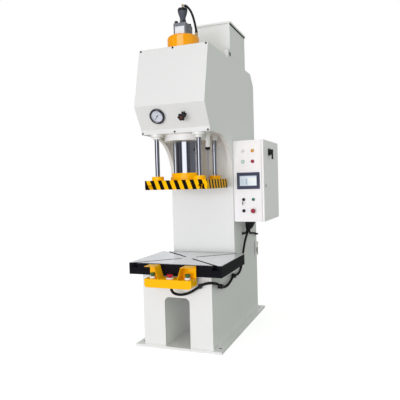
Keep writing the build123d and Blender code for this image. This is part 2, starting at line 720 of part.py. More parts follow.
def work_table():
    half_x, half_y = TABLE_WIDTH / 2, TABLE_DEPTH / 2
    table = block(-half_x, half_x, TABLE_Y - half_y, TABLE_Y + half_y, PEDESTAL_TOP, TABLE_TOP)
    table = chamfer(table.edges().group_by(Axis.Z)[-1], TABLE_EDGE)
    for slot in diagonal_slots(TABLE_WIDTH, TABLE_DEPTH, TABLE_SLOT_START):
        table -= Pos(0, TABLE_Y, TABLE_TOP) * slot
    return table


# Prefill valve and power unit

def valve_block():
    half_x, half_y = VALVE_WIDTH / 2, VALVE_DEPTH / 2
    return block(-half_x, half_x, RAM_Y - half_y, RAM_Y + half_y, CAP_TOP, VALVE_TOP)


def valve_bonnet():
    foot, top = (BONNET_FOOT / 2, 0), (BONNET_TOP / 2, BONNET_HEIGHT)
    skirt = (BONNET_SKIRT / 2, BONNET_HEIGHT * BONNET_SKIRT_SHARE)
    neck = (BONNET_NECK / 2, BONNET_HEIGHT * BONNET_NECK_SHARE)
    belly = (BONNET_BELLY / 2, BONNET_HEIGHT * BONNET_BELLY_SHARE)
    side = Spline(foot, skirt, neck, belly, top)
    rim = Polyline(top, (0, BONNET_HEIGHT), (0, 0), foot)
    return Pos(0, RAM_Y, VALVE_TOP) * revolve(Plane.XZ * make_face([side, rim]), Axis.Z)


def hose_ends():
    """The elbow's mouth and the cap fitting's mouth, which the hose joins."""
    drop = math.radians(ELBOW_DROP_ANGLE)
    elbow = (ELBOW_REACH * math.cos(drop), ELBOW_CENTRE - ELBOW_REACH * math.sin(drop))
    fitting = (CAP_DIAMETER / 2 - CAP_FITTING_INSET, CAP_TOP + CAP_FITTING_HEIGHT)
    return elbow, fitting


def hose_fittings():
    cap_end = hose_ends()[1]
    elbow = upright(0, RAM_Y, VALVE_TOP + BONNET_HEIGHT, ELBOW_CENTRE, ELBOW_DIAMETER)
    outlet = Sphere(ELBOW_DIAMETER / 2)
    outlet += Pos(0, 0, ELBOW_REACH / 2) * Cylinder(ELBOW_DIAMETER / 2, ELBOW_REACH)
    elbow += Pos(0, RAM_Y, ELBOW_CENTRE) * Rot(0, 90 + ELBOW_DROP_ANGLE, 0) * outlet
    fitting = upright(cap_end[0], RAM_Y, CAP_TOP - CAP_EDGE_RADIUS / 2, cap_end[1], CAP_FITTING)
    fitting -= cylinder_cap()
    bleed_x = CAP_DIAMETER / 2 + BLEED_DIAMETER / 2 + SEAT_GAP
    bleed = upright(bleed_x, RAM_Y, HEAD_TOP, HEAD_TOP + BLEED_HEIGHT, BLEED_DIAMETER)
    return [elbow, fitting, bleed]


def valve_hose():
    (x0, z0), (x1, z1) = hose_ends()
    route = [(x0 + (x1 - x0) * across, RAM_Y, z1 + (z0 - z1) * up) for across, up in VALVE_HOSE_SHARES]
    return tube_along(route, HOSE_DIAMETER)


def hood_shell():
    y0, y1 = FRONT_Y + HOOD_SETBACK, FRONT_Y + HOOD_SETBACK + HOOD_DEPTH
    top = HEAD_TOP + HOOD_HEIGHT - HOOD_SHEET - HOOD_LID_GAP
    shell = block(-HOOD_LEFT, HOOD_RIGHT, y0, y1, HEAD_TOP, top)
    return shell - block(
        HOOD_SHEET - HOOD_LEFT, HOOD_RIGHT - HOOD_SHEET, y0 + HOOD_SHEET, y1 - HOOD_SHEET,
        HEAD_TOP - CUT, top + CUT,
    )


def hood_lid():
    """A shallow tray turned over the shell, on four feet that leave an air gap."""
    y0, y1 = FRONT_Y + HOOD_SETBACK, FRONT_Y + HOOD_SETBACK + HOOD_DEPTH
    over, top = HOOD_LID_OVERHANG, HEAD_TOP + HOOD_HEIGHT
    lid = block(-HOOD_LEFT - over, HOOD_RIGHT + over, y0 - over, y1 + over, top - HOOD_LID_SKIRT, top)
    wall, foot = over - HOOD_SHEET, top - HOOD_LID_SKIRT
    lid -= block(
        -HOOD_LEFT - wall, HOOD_RIGHT + wall, y0 - wall, y1 + wall, foot - CUT, top - HOOD_SHEET
    )
    for x0 in (-HOOD_LEFT, HOOD_RIGHT - HOOD_FOOT):
        for foot_y in (y0, y1 - HOOD_FOOT):
            foot_top = top - HOOD_SHEET
            lid += block(x0, x0 + HOOD_FOOT, foot_y, foot_y + HOOD_FOOT, foot_top - HOOD_LID_GAP, foot_top)
    return lid


def motor_axis():
    x = (HOOD_RIGHT - HOOD_LEFT) / 2
    rear = FRONT_Y + HOOD_SETBACK + HOOD_DEPTH - HOOD_SHEET - MOTOR_REAR_GAP
    return x, rear, HEAD_TOP + MOTOR_AXIS_HEIGHT


def motor():
    x, rear, z = motor_axis()
    body = lengthwise(x, z, rear - MOTOR_LENGTH, rear, MOTOR_DIAMETER)
    half = MOTOR_FOOT_WIDTH / 2
    front = rear - MOTOR_LENGTH * 3 / 4
    back = rear - MOTOR_LENGTH / 4
    body += block(x - half, x + half, front, back, HEAD_TOP, HEAD_TOP + MOTOR_FOOT_HEIGHT)
    pillar = MOTOR_DIAMETER / 4
    return body + block(x - pillar, x + pillar, front, back, HEAD_TOP, z)


def pump():
    x, rear, z = motor_axis()
    front = rear - MOTOR_LENGTH
    flange = front - PUMP_BELL_LENGTH
    bell = lengthwise(x, z, flange, front, PUMP_BELL)
    return bell + lengthwise(x, z, flange - PUMP_LENGTH, flange, PUMP_DIAMETER)


# Gauge and pressure knob

def gauge_place():
    return panel_plane().location * Pos(-GAUGE_OFFSET, -PANEL_DROP, 0)


def gauge_case():
    case = Pos(0, 0, GAUGE_RISE / 2) * Cylinder(GAUGE_DIAMETER / 2, GAUGE_RISE)
    case += Pos(0, 0, -GAUGE_BODY_DEPTH / 2) * Cylinder(GAUGE_BODY / 2, GAUGE_BODY_DEPTH)
    recess = Cylinder(GAUGE_DIAL / 2, GAUGE_DIAL_DEPTH + 2 * RUN_GAP)
    case -= Pos(0, 0, GAUGE_RISE - GAUGE_DIAL_DEPTH / 2) * recess
    dial = GAUGE_RISE - GAUGE_DIAL_DEPTH
    pin_depth = NEEDLE_PIN_LENGTH + FREE_GAP
    case -= Pos(0, 0, dial - pin_depth / 2) * Cylinder(NEEDLE_PIN / 2 + RUN_GAP, pin_depth + FREE_GAP)
    return gauge_place() * case


def gauge_glass():
    height = GAUGE_RISE - GLASS_DROP - GLASS_THICKNESS / 2
    return gauge_place() * Pos(0, 0, height) * Cylinder(GAUGE_DIAL / 2 - SEAT_GAP, GLASS_THICKNESS)


def gauge_needle():
    dial = GAUGE_RISE - GAUGE_DIAL_DEPTH
    level = dial + NEEDLE_LIFT
    pin = Pos(0, 0, level - NEEDLE_PIN_LENGTH / 2) * Cylinder(NEEDLE_PIN / 2, NEEDLE_PIN_LENGTH)
    hub = Pos(0, 0, level + NEEDLE_HEIGHT) * Cylinder(NEEDLE_HUB / 2, 2 * NEEDLE_HEIGHT)
    tail = NEEDLE_LENGTH / 4
    outline = Polyline(
        (NEEDLE_LENGTH, 0), (0, NEEDLE_WIDTH / 2), (-tail, NEEDLE_WIDTH / 2),
        (-tail, -NEEDLE_WIDTH / 2), (0, -NEEDLE_WIDTH / 2), close=True,
    )
    hand = Pos(0, 0, level) * extrude(make_face(outline), amount=NEEDLE_HEIGHT)
    return gauge_place() * Rot(0, 0, NEEDLE_REST_ANGLE) * (pin + hub + hand)


def knob_place():
    return panel_plane().location * Pos(KNOB_OFFSET, -PANEL_DROP, 0)


def lobed_disc(diameter, lobe, count, height):
    """A disc with round lobes standing out of its rim."""
    disc = Cylinder((diameter - lobe) / 2, height)
    for index in range(count):
        turn = Rot(0, 0, index * 360 / count)
        disc += turn * Pos((diameter - lobe) / 2, 0, 0) * Cylinder(lobe / 2, height)
    return disc


def knob_lock_ring():
    ring = lobed_disc(LOCK_RING, LOCK_RING_LOBE, KNOB_LOBES, LOCK_RING_HEIGHT)
    ring -= Cylinder(KNOB_STEM / 2 + RUN_GAP, LOCK_RING_HEIGHT + CUT)
    return knob_place() * Pos(0, 0, LOCK_RING_HEIGHT / 2) * ring


def pressure_knob():
    star = lobed_disc(KNOB_DIAMETER, KNOB_LOBE, KNOB_LOBES, KNOB_HEIGHT)
    knob = Pos(0, 0, KNOB_STEM_RISE + KNOB_HEIGHT / 2) * star
    length = KNOB_STEM_RISE + KNOB_STEM_DEPTH
    stem = Pos(0, 0, KNOB_STEM_RISE - length / 2) * Cylinder(KNOB_STEM / 2, length)
    return knob_place() * (knob + stem)


# Cabinet, its controls and its door

def front_controls():
    """X and Z of each named control on the cabinet's front side, top row first."""
    columns = (CABINET_X + COLUMN_LEFT, CABINET_X + COLUMN_RIGHT)
    rows = (ROW_LAMPS, ROW_PUSH, ROW_KEY, ROW_SELECT)
    places = [(x, CABINET_FLOOR + row) for row in rows for x in columns]
    return dict(zip(CONTROLS, places))


def cabinet_box():
    sheet = CABINET_SHEET
    box = block(CABINET_X, BOX_EDGE, CABINET_Y, CABINET_REAR, CABINET_FLOOR, CABINET_TOP)
    box -= block(
        CABINET_X + sheet, BOX_EDGE - sheet, CABINET_Y + sheet, CABINET_REAR - sheet,
        CABINET_FLOOR + sheet, CABINET_TOP - sheet,
    )
    lip = sheet + CABINET_LIP
    box -= block(
        BOX_EDGE - sheet - CUT, BOX_EDGE + CUT, CABINET_Y + lip, CABINET_REAR - lip,
        CABINET_FLOOR + lip, CABINET_TOP - lip,
    )
    for x, z in front_controls().values():
        box -= lengthwise(x, z, CABINET_Y - CUT, CABINET_Y + sheet + CUT, BUTTON_STEM + 2 * FREE_GAP)
    for y0 in (CABINET_Y + CABINET_PAD, CABINET_REAR - 2 * CABINET_PAD):
        for z0 in (CABINET_FLOOR + CABINET_PAD, CABINET_TOP - 2 * CABINET_PAD):
            box += block(HALF_WIDTH, CABINET_X, y0, y0 + CABINET_PAD, z0, z0 + CABINET_PAD)
    return box


def hinge_floors():
    return [CABINET_FLOOR + HINGE_INSET, CABINET_TOP - HINGE_INSET - 2 * HINGE_KNUCKLE]


def hinge_pins():
    """Each fixed hinge half: a knuckle webbed to the cabinet's rear side, with the pin standing in it."""
    y = CABINET_REAR + HINGE_OFFSET
    halves = []
    for floor in hinge_floors():
        top = floor + HINGE_KNUCKLE
        half = upright(DOOR_BACK, y, floor, top, HINGE_DIAMETER)
        half += block(BOX_EDGE - 4 * HINGE_WEB, DOOR_BACK, y - HINGE_WEB / 2, y + HINGE_WEB / 2, floor, top)
        half += block(BOX_EDGE - 4 * HINGE_WEB, BOX_EDGE - HINGE_WEB, CABINET_REAR, y, floor, top)
        halves.append(half + upright(DOOR_BACK, y, floor, top + HINGE_KNUCKLE, HINGE_PIN))
    return halves


def cabinet_door():
    door = block(DOOR_BACK, DOOR_FACE, CABINET_Y, CABINET_REAR, CABINET_FLOOR, CABINET_TOP)
    sheet = CABINET_SHEET
    door -= block(
        DOOR_BACK - CUT, DOOR_FACE - sheet, CABINET_Y + sheet, CABINET_REAR - sheet,
        CABINET_FLOOR + sheet, CABINET_TOP - sheet,
    )
    y = CABINET_REAR + HINGE_OFFSET
    for floor in hinge_floors():
        low = floor + HINGE_KNUCKLE + FREE_GAP
        high = floor + 2 * HINGE_KNUCKLE + FREE_GAP
        knuckle = upright(DOOR_BACK, y, low, high, HINGE_DIAMETER)
        knuckle += block(DOOR_BACK, DOOR_BACK + HINGE_WEB, CABINET_REAR, y, low, high)
        door += knuckle - upright(DOOR_BACK, y, low - CUT, high + CUT, HINGE_PIN + 2 * RUN_GAP)
    switch_y, switch_z = switch_place()
    door -= crosswise(switch_y, switch_z, DOOR_BACK, DOOR_FACE + CUT, SWITCH_STEM + 2 * FREE_GAP)
    lock_y, lock_z = lock_place()
    return door - crosswise(lock_y, lock_z, DOOR_BACK, DOOR_FACE + CUT, LOCK_BARREL + 2 * RUN_GAP)


def switchgear():
    """The gear plate on the cabinet's back with three rows of control gear."""
    x0 = CABINET_X + CABINET_SHEET
    y0, y1 = CABINET_Y + GEAR_PLATE_INSET, CABINET_REAR - GEAR_PLATE_INSET
    z0, z1 = CABINET_FLOOR + GEAR_PLATE_INSET, CABINET_TOP - GEAR_PLATE_INSET
    plate_x = x0 + GEAR_PLATE_STANDOFF
    plate = block(plate_x, plate_x + GEAR_PLATE, y0, y1, z0, z1)
    for y in (y0, y1 - GEAR_PLATE_STANDOFF):
        for z in (z0, z1 - GEAR_PLATE_STANDOFF):
            plate += block(x0, plate_x, y, y + GEAR_PLATE_STANDOFF, z, z + GEAR_PLATE_STANDOFF)
    pieces = [plate]
    for row_share, width_share in zip(GEAR_ROW_SHARES, GEAR_WIDTH_SHARES):
        z = z0 + (z1 - z0) * row_share
        half = (y1 - y0) * width_share / 2
        middle = (y0 + y1) / 2
        face = plate_x + GEAR_PLATE
        low, high = z - GEAR_ROW_HEIGHT / 2, z + GEAR_ROW_HEIGHT / 2
        pieces.append(block(face, face + GEAR_DEPTH, middle - half, middle + half, low, high))
    return pieces


def touch_panel():
    x0, z0 = CABINET_X + SCREEN_LEFT, CABINET_FLOOR + SCREEN_FLOOR
    face = CABINET_Y - SCREEN_RISE
    panel = block(x0, x0 + SCREEN_WIDTH, face, CABINET_Y, z0, z0 + SCREEN_HEIGHT)
    side, end = (SCREEN_WIDTH - GLASS_WIDTH) / 2, (SCREEN_HEIGHT - GLASS_HEIGHT) / 2
    panel = chamfer(panel.faces().sort_by(Axis.Y)[0].edges(), GLASS_RECESS)
    glass_x, glass_z = x0 + side, z0 + end
    return panel - block(
        glass_x, glass_x + GLASS_WIDTH, face - CUT, face + GLASS_RECESS, glass_z, glass_z + GLASS_HEIGHT
    )


def control_place(control):
    """A named control's place on the cabinet's front side, with local Z pointing at the operator."""
    x, z = front_controls()[control]
    return Plane((x, CABINET_Y, z), x_dir=(1, 0, 0), z_dir=(0, -1, 0)).location


def on_station(x):
    """A place on the station's top with local Z pointing up."""
    return Pos(x, FRONT_Y - PALM_SETBACK, STATION_TOP)


def ring(outside, height, bore):
    """A ring standing on Z = 0."""
    return Pos(0, 0, height / 2) * (Cylinder(outside / 2, height) - Cylinder(bore / 2, height + CUT))


def button_bezels():
    bezel = ring(BEZEL, BEZEL_HEIGHT, BUTTON + 2 * RUN_GAP)
    bezels = [control_place(control) * bezel for control in CONTROLS]
    for x in (-PALM_OFFSET, PALM_OFFSET):
        bezels.append(on_station(x) * ring(PALM_BEZEL, PALM_BEZEL_HEIGHT, PALM_STEM + 2 * RUN_GAP))
    bezels.append(on_station(0) * ring(STOP_BEZEL, STOP_BEZEL_HEIGHT, BUTTON + 2 * RUN_GAP))
    return bezels


def plunger():
    """A button's cap in its bezel and the stem behind it through the panel."""
    top = BEZEL_HEIGHT + BUTTON_RISE
    cap = Pos(0, 0, top - BUTTON_HEIGHT / 2) * Cylinder(BUTTON / 2, BUTTON_HEIGHT)
    cap = chamfer(cap.edges().group_by(Axis.Z)[-1], BUTTON_RISE / 4)
    length = top - BUTTON_HEIGHT + BUTTON_STEM_DEPTH
    return cap + Pos(0, 0, length / 2 - BUTTON_STEM_DEPTH) * Cylinder(BUTTON_STEM / 2, length)


def mushroom(head, height, lift, bezel_height, stem):
    """A mushroom head above its bezel, on a stem that runs in the bezel."""
    foot = bezel_height + lift
    cap = Pos(0, 0, foot + height / 2) * Cylinder(head / 2, height)
    cap = fillet(cap.edges().group_by(Axis.Z)[-1], height / 2)
    low = bezel_height / 2 + lift / 4
    return cap + Pos(0, 0, (low + foot) / 2) * Cylinder(stem / 2, foot - low)


def pilot_lamps():
    rise = BEZEL_HEIGHT + LAMP_DOME
    lens = Pos(0, 0, rise / 2) * Cylinder(BUTTON / 2 - SEAT_GAP, rise)
    lens = fillet(lens.edges().group_by(Axis.Z)[-1], LAMP_DOME)
    return [control_place(lamp) * lens for lamp in ("power_lamp", "ready_lamp")]


def key_switch():
    rise = BEZEL_HEIGHT + BUTTON_RISE
    key = Pos(0, 0, rise + KEY_LENGTH / 2) * Box(KEY_THICKNESS, KEY_WIDTH, KEY_LENGTH)
    key = fillet(key.edges().filter_by(Axis.X), KEY_WIDTH / 4)
    neck = Pos(0, 0, rise + KEY_LENGTH / 4) * Box(KEY_THICKNESS, KEY_WIDTH / 2, KEY_LENGTH / 2)
    return control_place("key") * (plunger() + key + neck)


def selector_switch():
    top = BEZEL_HEIGHT + BUTTON_RISE
    lever = Pos(0, 0, top + SELECTOR_RISE / 2) * Box(SELECTOR_LEVER, BUTTON, SELECTOR_RISE)
    lever = fillet(lever.edges().filter_by(Axis.X), SELECTOR_LEVER / 4)
    return control_place("selector") * (plunger() + lever)


def cabinet_estop():
    head = mushroom(MUSHROOM, MUSHROOM_HEIGHT, MUSHROOM_LIFT, BEZEL_HEIGHT, BUTTON)
    return control_place("estop") * head


def switch_place():
    return CABINET_Y + SWITCH_SETBACK, CABINET_FLOOR + SWITCH_HEIGHT


def lock_place():
    return CABINET_Y + LOCK_SETBACK, CABINET_FLOOR + LOCK_HEIGHT


def main_switch_base():
    y, z = switch_place()
    half, top = SWITCH_BASE / 2, DOOR_FACE + SWITCH_BASE_RISE
    base = block(DOOR_FACE, top, y - half, y + half, z - half, z + half)
    base = fillet(base.edges().filter_by(Axis.X), SWITCH_BASE / 10)
    return base - crosswise(y, z, DOOR_FACE - CUT, top + CUT, SWITCH_STEM + 2 * RUN_GAP)


def main_switch_handle():
    y, z = switch_place()
    foot = DOOR_FACE + SWITCH_BASE_RISE + FREE_GAP
    top = foot + SWITCH_DIAL_RISE
    half = SWITCH_LEVER_WIDTH / 2
    handle = crosswise(y, z, foot, top, SWITCH_DIAL)
    low, high = z - SWITCH_LEVER_LENGTH, z + SWITCH_DIAL / 2
    handle += block(top, top + SWITCH_LEVER_RISE, y - half, y + half, low, high)
    return handle + crosswise(y, z, DOOR_FACE - CABINET_SHEET, foot, SWITCH_STEM)


def door_lock():
    y, z = lock_place()
    top = DOOR_FACE + FREE_GAP + LOCK_FLANGE_RISE
    lock = crosswise(y, z, DOOR_FACE + FREE_GAP, top, LOCK_FLANGE)
    back = DOOR_FACE - LOCK_BARREL_DEPTH
    lock += crosswise(y, z, back, DOOR_FACE + FREE_GAP, LOCK_BARREL)
    half = LOCK_CAM_WIDTH / 2
    lock += block(back, back + LOCK_CAM_THICKNESS, y - half, y + half, z, z + LOCK_CAM_LENGTH)
    across, along = LOCK_KEYWAY_WIDTH / 2, LOCK_KEYWAY_LENGTH / 2
    return lock - block(top - LOCK_FLANGE_RISE, top + CUT, y - across, y + across, z - along, z + along)


# Boot, conduits and level gauge

def cable_boot():
    x, y = CABINET_X + BOOT_OFFSET, CABINET_Y + BOOT_SETBACK
    bottom = Pos(x, y, CABINET_FLOOR - BOOT_HEIGHT) * Circle(BOOT_BOTTOM / 2)
    top = Pos(x + BOOT_LEAN, y, CABINET_FLOOR) * Circle(BOOT_TOP / 2)
    return loft([bottom, top])


def placed(route):
    """A conduit route's points, beside the right side plate and behind the frame's front."""
    return [(HALF_WIDTH + x, FRONT_Y + y, z) for x, y, z in route]


def conduits():
    return [tube_along(placed(route), CONDUIT) for route in (STATION_ROUTE, STUB_ROUTE, REAR_ROUTE)]


def glands():
    """Rings where a conduit leaves the station's floor or enters the side plate."""
    gland = ring(GLAND, GLAND_LENGTH, CONDUIT + 2 * SEAT_GAP)
    rings = []
    for route, end, beside in ((STATION_ROUTE, 0, 1), (STUB_ROUTE, -1, -2), (REAR_ROUTE, -1, -2)):
        points = [Vector(*point) for point in placed(route)]
        rings.append(Plane(points[end], z_dir=points[beside] - points[end]).location * gland)
    return rings


def conduit_clips():
    """Saddles that hold the station's conduit to the pedestal's front and to the side plate."""
    half = CONDUIT / 2 + CLIP_WALL
    passage = Cylinder(CONDUIT / 2 + FREE_GAP, 2 * half + 2 * CLIP_WIDTH)
    points = [Vector(*point) for point in placed(STATION_ROUTE)]
    clips = []
    for index in CLIP_RUNS:
        start, end = points[index], points[index + 1]
        middle = (start + end) / 2
        bore = Plane(middle, z_dir=end - start) * passage
        z0, z1 = middle.Z - half, middle.Z + half
        if middle.Y < FRONT_Y:
            x0, x1 = middle.X - CLIP_WIDTH / 2, middle.X + CLIP_WIDTH / 2
            clips.append(block(x0, x1, middle.Y - half, FRONT_Y, z0, z1) - bore)
        else:
            y0, y1 = middle.Y - CLIP_WIDTH / 2, middle.Y + CLIP_WIDTH / 2
            clips.append(block(HALF_WIDTH, middle.X + half, y0, y1, z0, z1) - bore)
    return clips


def level_gauge():
    y, top = REAR_Y - LEVEL_INSET, LEVEL_FLOOR + LEVEL_HEIGHT
    half, face = LEVEL_WIDTH / 2, HALF_WIDTH + LEVEL_RISE
    body = block(HALF_WIDTH, face, y - half, y + half, LEVEL_FLOOR, top)
    body = fillet(body.edges().filter_by(Axis.X), LEVEL_WIDTH / 4)
    window = LEVEL_WINDOW / 2
    return body - block(
        face - LEVEL_WINDOW, face + CUT, y - window, y + window, LEVEL_FLOOR + LEVEL_END, top - LEVEL_END
    )


# Two-hand control station

def guard(side):
    """A sheet hood over one palm button: back wall, roof and slanted inner wall, open at its outer end."""
    front, back = FRONT_Y - STATION_FRONT + GUARD_FRONT_INSET, FRONT_Y - STATION_BACK - GUARD_BACK_INSET
    outer, top, sheet = STATION_WIDTH / 2, STATION_TOP + GUARD_HEIGHT, STATION_SHEET
    line = [(GUARD_FOOT, STATION_TOP), (GUARD_SHOULDER, top), (outer, top)]
    inside = parallel_line(line, -sheet)
    inside[0] = (GUARD_FOOT + (inside[1][0] - GUARD_SHOULDER + sheet), STATION_TOP)
    wall = Plane.XZ * make_face(Polyline(*line, *inside[::-1], close=True))
    shell = Pos(0, back, 0) * extrude(wall, amount=back - front, dir=(0, -1, 0))
    end = Plane.XZ * make_face(Polyline(*line, (outer, STATION_TOP), close=True))
    shell += Pos(0, back, 0) * extrude(end, amount=sheet, dir=(0, -1, 0))
    return shell if side > 0 else mirror(shell, Plane.YZ)


def station_tray():
    half, front, back = STATION_WIDTH / 2, FRONT_Y - STATION_FRONT, FRONT_Y - STATION_BACK
    outer = block(-half, half, front, back, STATION_FLOOR, STATION_TOP)
    outer = fillet(outer.edges().filter_by(Axis.Y).group_by(Axis.Z)[0], STATION_RADIUS)
    sheet = STATION_SHEET
    floor, roof = STATION_FLOOR + sheet, STATION_TOP - sheet
    inner = block(sheet - half, half - sheet, front + sheet, back + CUT, floor, roof)
    tray = outer - fillet(inner.edges().filter_by(Axis.Y).group_by(Axis.Z)[0], STATION_RADIUS - sheet)
    for side in (-1, 1):
        tray += guard(side)
        x = side * BRACKET_OFFSET
        low = STATION_FLOOR + BRACKET_RISE
        x0, x1 = x - BRACKET_WIDTH / 2, x + BRACKET_WIDTH / 2
        tray += block(x0, x1, front + sheet, FRONT_Y, low, low + sheet)
    return tray


def palm_button(side):
    head = mushroom(PALM_HEAD, PALM_HEIGHT, PALM_LIFT, PALM_BEZEL_HEIGHT, PALM_STEM)
    return on_station(side * PALM_OFFSET) * head


def station_estop():
    head = mushroom(STATION_STOP, MUSHROOM_HEIGHT, MUSHROOM_LIFT, STOP_BEZEL_HEIGHT, BUTTON)
    return on_station(0) * head


def main():
    os.makedirs("parts", exist_ok=True)
    save("base_plate", base_plate())
    save("left_side_plate", side_plate(-HALF_WIDTH))
    save("right_side_plate", side_plate(INNER_X))
    save("pedestal_front_plate", pedestal_front_plate())
    save("pedestal_top_plate", pedestal_top_plate())
    save("throat_plate", throat_plate())
    save("head_bottom_plate", head_bottom_plate())
    save("head_top_plate", head_top_plate())
    save("rear_plate", rear_plate())
    save("tank_bulkheads", *tank_bulkheads())
    save("front_cover", front_cover())
    save("cover_screws", *cover_screws())
    save("cylinder_barrel", cylinder_barrel())
    save("cylinder_flange", cylinder_flange())
    save("cylinder_cap", cylinder_cap())
    save("ram", ram())
    save("platen", platen())
    save("platen_collars", *platen_collars())
    save("guide_rods", *guide_rods())
    save("guide_bushes", *guide_bushes())
    save("stroke_guide", stroke_guide())
    save("stroke_wiper", stroke_wiper())
    save("stroke_rod", stroke_rod())
    save("work_table", work_table())
    save("valve_block", valve_block())
    save("valve_bonnet", valve_bonnet())
    save("hose_fittings", *hose_fittings())
    save("valve_hose", valve_hose())
    save("hood_shell", hood_shell())
    save("hood_lid", hood_lid())
    save("power_unit", motor(), pump())
    save("gauge_case", gauge_case())
    save("gauge_glass", gauge_glass())
    save("gauge_needle", gauge_needle())
    save("knob_lock_ring", knob_lock_ring())
    save("pressure_knob", pressure_knob())
    save("cabinet_box", cabinet_box())
    save("hinge_pins", *hinge_pins())
    save("cabinet_door", cabinet_door())
    save("switchgear", *switchgear())
    save("touch_panel", touch_panel())
    save("button_bezels", *button_bezels())
    save("pilot_lamps", *pilot_lamps())
    save("start_button", control_place("start") * plunger())
    save("stop_button", control_place("stop") * plunger())
    save("key_switch", key_switch())
    save("reset_button", control_place("reset") * plunger())
    save("selector_switch", selector_switch())
    save("cabinet_estop", cabinet_estop())
    save("main_switch_base", main_switch_base())
    save("main_switch_handle", main_switch_handle())
    save("door_lock", door_lock())
    save("cable_boot", cable_boot())
    save("conduits", *conduits())
    save("conduit_fittings", *conduit_clips(), *glands())
    save("level_gauge", level_gauge())
    save("station_tray", station_tray())
    save("left_palm_button", palm_button(-1))
    save("right_palm_button", palm_button(1))
    save("station_estop", station_estop())


main()
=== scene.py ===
"""Looks of a single column hydraulic press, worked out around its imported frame.

X runs across the press to the operator's right, Y to the rear and Z up. Lengths are metres.
"""

import json
import math
from functools import partial

import bmesh
import bpy
import numpy as np
from mathutils import Matrix, Vector


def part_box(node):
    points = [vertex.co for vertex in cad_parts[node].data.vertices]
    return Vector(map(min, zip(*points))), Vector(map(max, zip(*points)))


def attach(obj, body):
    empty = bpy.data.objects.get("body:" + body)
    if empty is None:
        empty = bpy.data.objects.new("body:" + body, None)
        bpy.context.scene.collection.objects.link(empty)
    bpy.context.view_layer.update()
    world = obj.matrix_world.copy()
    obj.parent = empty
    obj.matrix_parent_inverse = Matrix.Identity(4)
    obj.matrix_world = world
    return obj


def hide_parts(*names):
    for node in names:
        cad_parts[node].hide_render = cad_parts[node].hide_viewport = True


bl_info = {
    "name": "Single Column Press Looks",
    "version": (1, 0, 0),
    "blender": (4, 5, 0),
    "location": "View3D > Sidebar > Press",
    "description": "Finishes and detail pieces of a single column hydraulic press",
    "category": "Object",
}

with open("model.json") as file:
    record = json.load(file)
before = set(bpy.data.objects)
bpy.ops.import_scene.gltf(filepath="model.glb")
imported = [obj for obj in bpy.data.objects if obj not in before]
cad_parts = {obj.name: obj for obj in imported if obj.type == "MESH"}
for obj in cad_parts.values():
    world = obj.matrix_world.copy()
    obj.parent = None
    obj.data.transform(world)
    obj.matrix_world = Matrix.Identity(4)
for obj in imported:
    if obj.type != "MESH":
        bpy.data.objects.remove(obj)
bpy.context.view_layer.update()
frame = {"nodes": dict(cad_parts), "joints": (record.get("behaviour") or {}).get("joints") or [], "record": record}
NODES = frame["nodes"]
JOINTS = {joint["name"]: joint for joint in frame["joints"]}
TAU = 2 * math.pi

# Places read from the frame
SIDE_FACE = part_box("right_side_plate")[1].x
FRONT_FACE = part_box("pedestal_front_plate")[0].y
PANEL_NORMAL = np.array(JOINTS["pressure_knob_turn"]["axis"])

# Conduit routes: (right of the side plate's face, behind the frame's front, above the floor)
STATION_ROUTE = (
    (-0.280, -0.1075, 0.508), (-0.280, -0.1075, 0.488), (-0.273, -0.0975, 0.464), (-0.251, -0.0775, 0.446),
    (-0.209, -0.0535, 0.440), (-0.159, -0.0335, 0.456), (-0.109, -0.0245, 0.488), (-0.061, -0.0245, 0.520),
    (-0.013, -0.0215, 0.532), (0.021, 0.0005, 0.528), (0.032, 0.0385, 0.514), (0.028, 0.1025, 0.488),
    (0.022, 0.1825, 0.460), (0.019, 0.2625, 0.444), (0.019, 0.3425, 0.446), (0.021, 0.4125, 0.468),
    (0.022, 0.4675, 0.488), (0.021, 0.5325, 0.486), (0.019, 0.6025, 0.478), (0.018, 0.6675, 0.484),
    (0.018, 0.7205, 0.514), (0.019, 0.7545, 0.572), (0.023, 0.7845, 0.650), (0.029, 0.824, 0.736),
    (0.032, 0.876, 0.784), (0.033, 0.911, 0.812), (0.033, 0.911, 0.838),
)
STUB_ROUTE = (
    (0.033, 0.889, 0.838), (0.033, 0.889, 0.826), (0.030, 0.880, 0.812), (0.022, 0.864, 0.804),
    (0.012, 0.852, 0.802), (0.0, 0.852, 0.802),
)
REAR_ROUTE = (
    (0.053, 0.900, 0.838), (0.053, 0.900, 0.822), (0.052, 0.914, 0.804), (0.046, 0.962, 0.792),
    (0.036, 1.040, 0.786), (0.027, 1.122, 0.778), (0.022, 1.2025, 0.766), (0.022, 1.2605, 0.755),
    (0.025, 1.2905, 0.750), (0.025, 1.3095, 0.748), (0.0146, 1.3199, 0.7475), (0.0, 1.3199, 0.7475),
)
# The valve hose's route, as shares of its reach across and of its rise above the cap fitting
HOSE_SHARES = (
    (0.0, 1.0), (0.145, 0.966), (0.353, 0.892), (0.55, 0.771), (0.709, 0.614), (0.836, 0.43), (0.934, 0.238),
    (1.0, 0.09), (1.0, 0.0),
)

# The cabinet's round bezels, its screen, and how far its door reaches past the folded rim
BEZEL_RISE = 0.008
BEZEL_BORE = 0.01105
SCREEN_SIZE = np.array([0.146, 0.084])
DOOR_REACH = 0.019

# Gaps round a moving stem, and between a piece and the plate behind it
STEM_GAP = 0.00005
GAP = 0.0002

# Directions
UP = np.array([0.0, 0.0, 1.0])
RIGHT = np.array([1.0, 0.0, 0.0])
REARWARD = np.array([0.0, 1.0, 0.0])


def middle(name):
    """The middle of a node's box."""
    low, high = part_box(name)
    return (low + high) / 2


def spread(name, axes):
    """The middle and the half size of a node's box on some of its axes."""
    low, high = (np.array(corner)[axes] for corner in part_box(name))
    return (low + high) / 2, (high - low) / 2


# Properties

def amount(name, description, default, **kind):
    """A number that a user may change."""
    return bpy.props.FloatProperty(name=name, description=description, default=default, **kind)


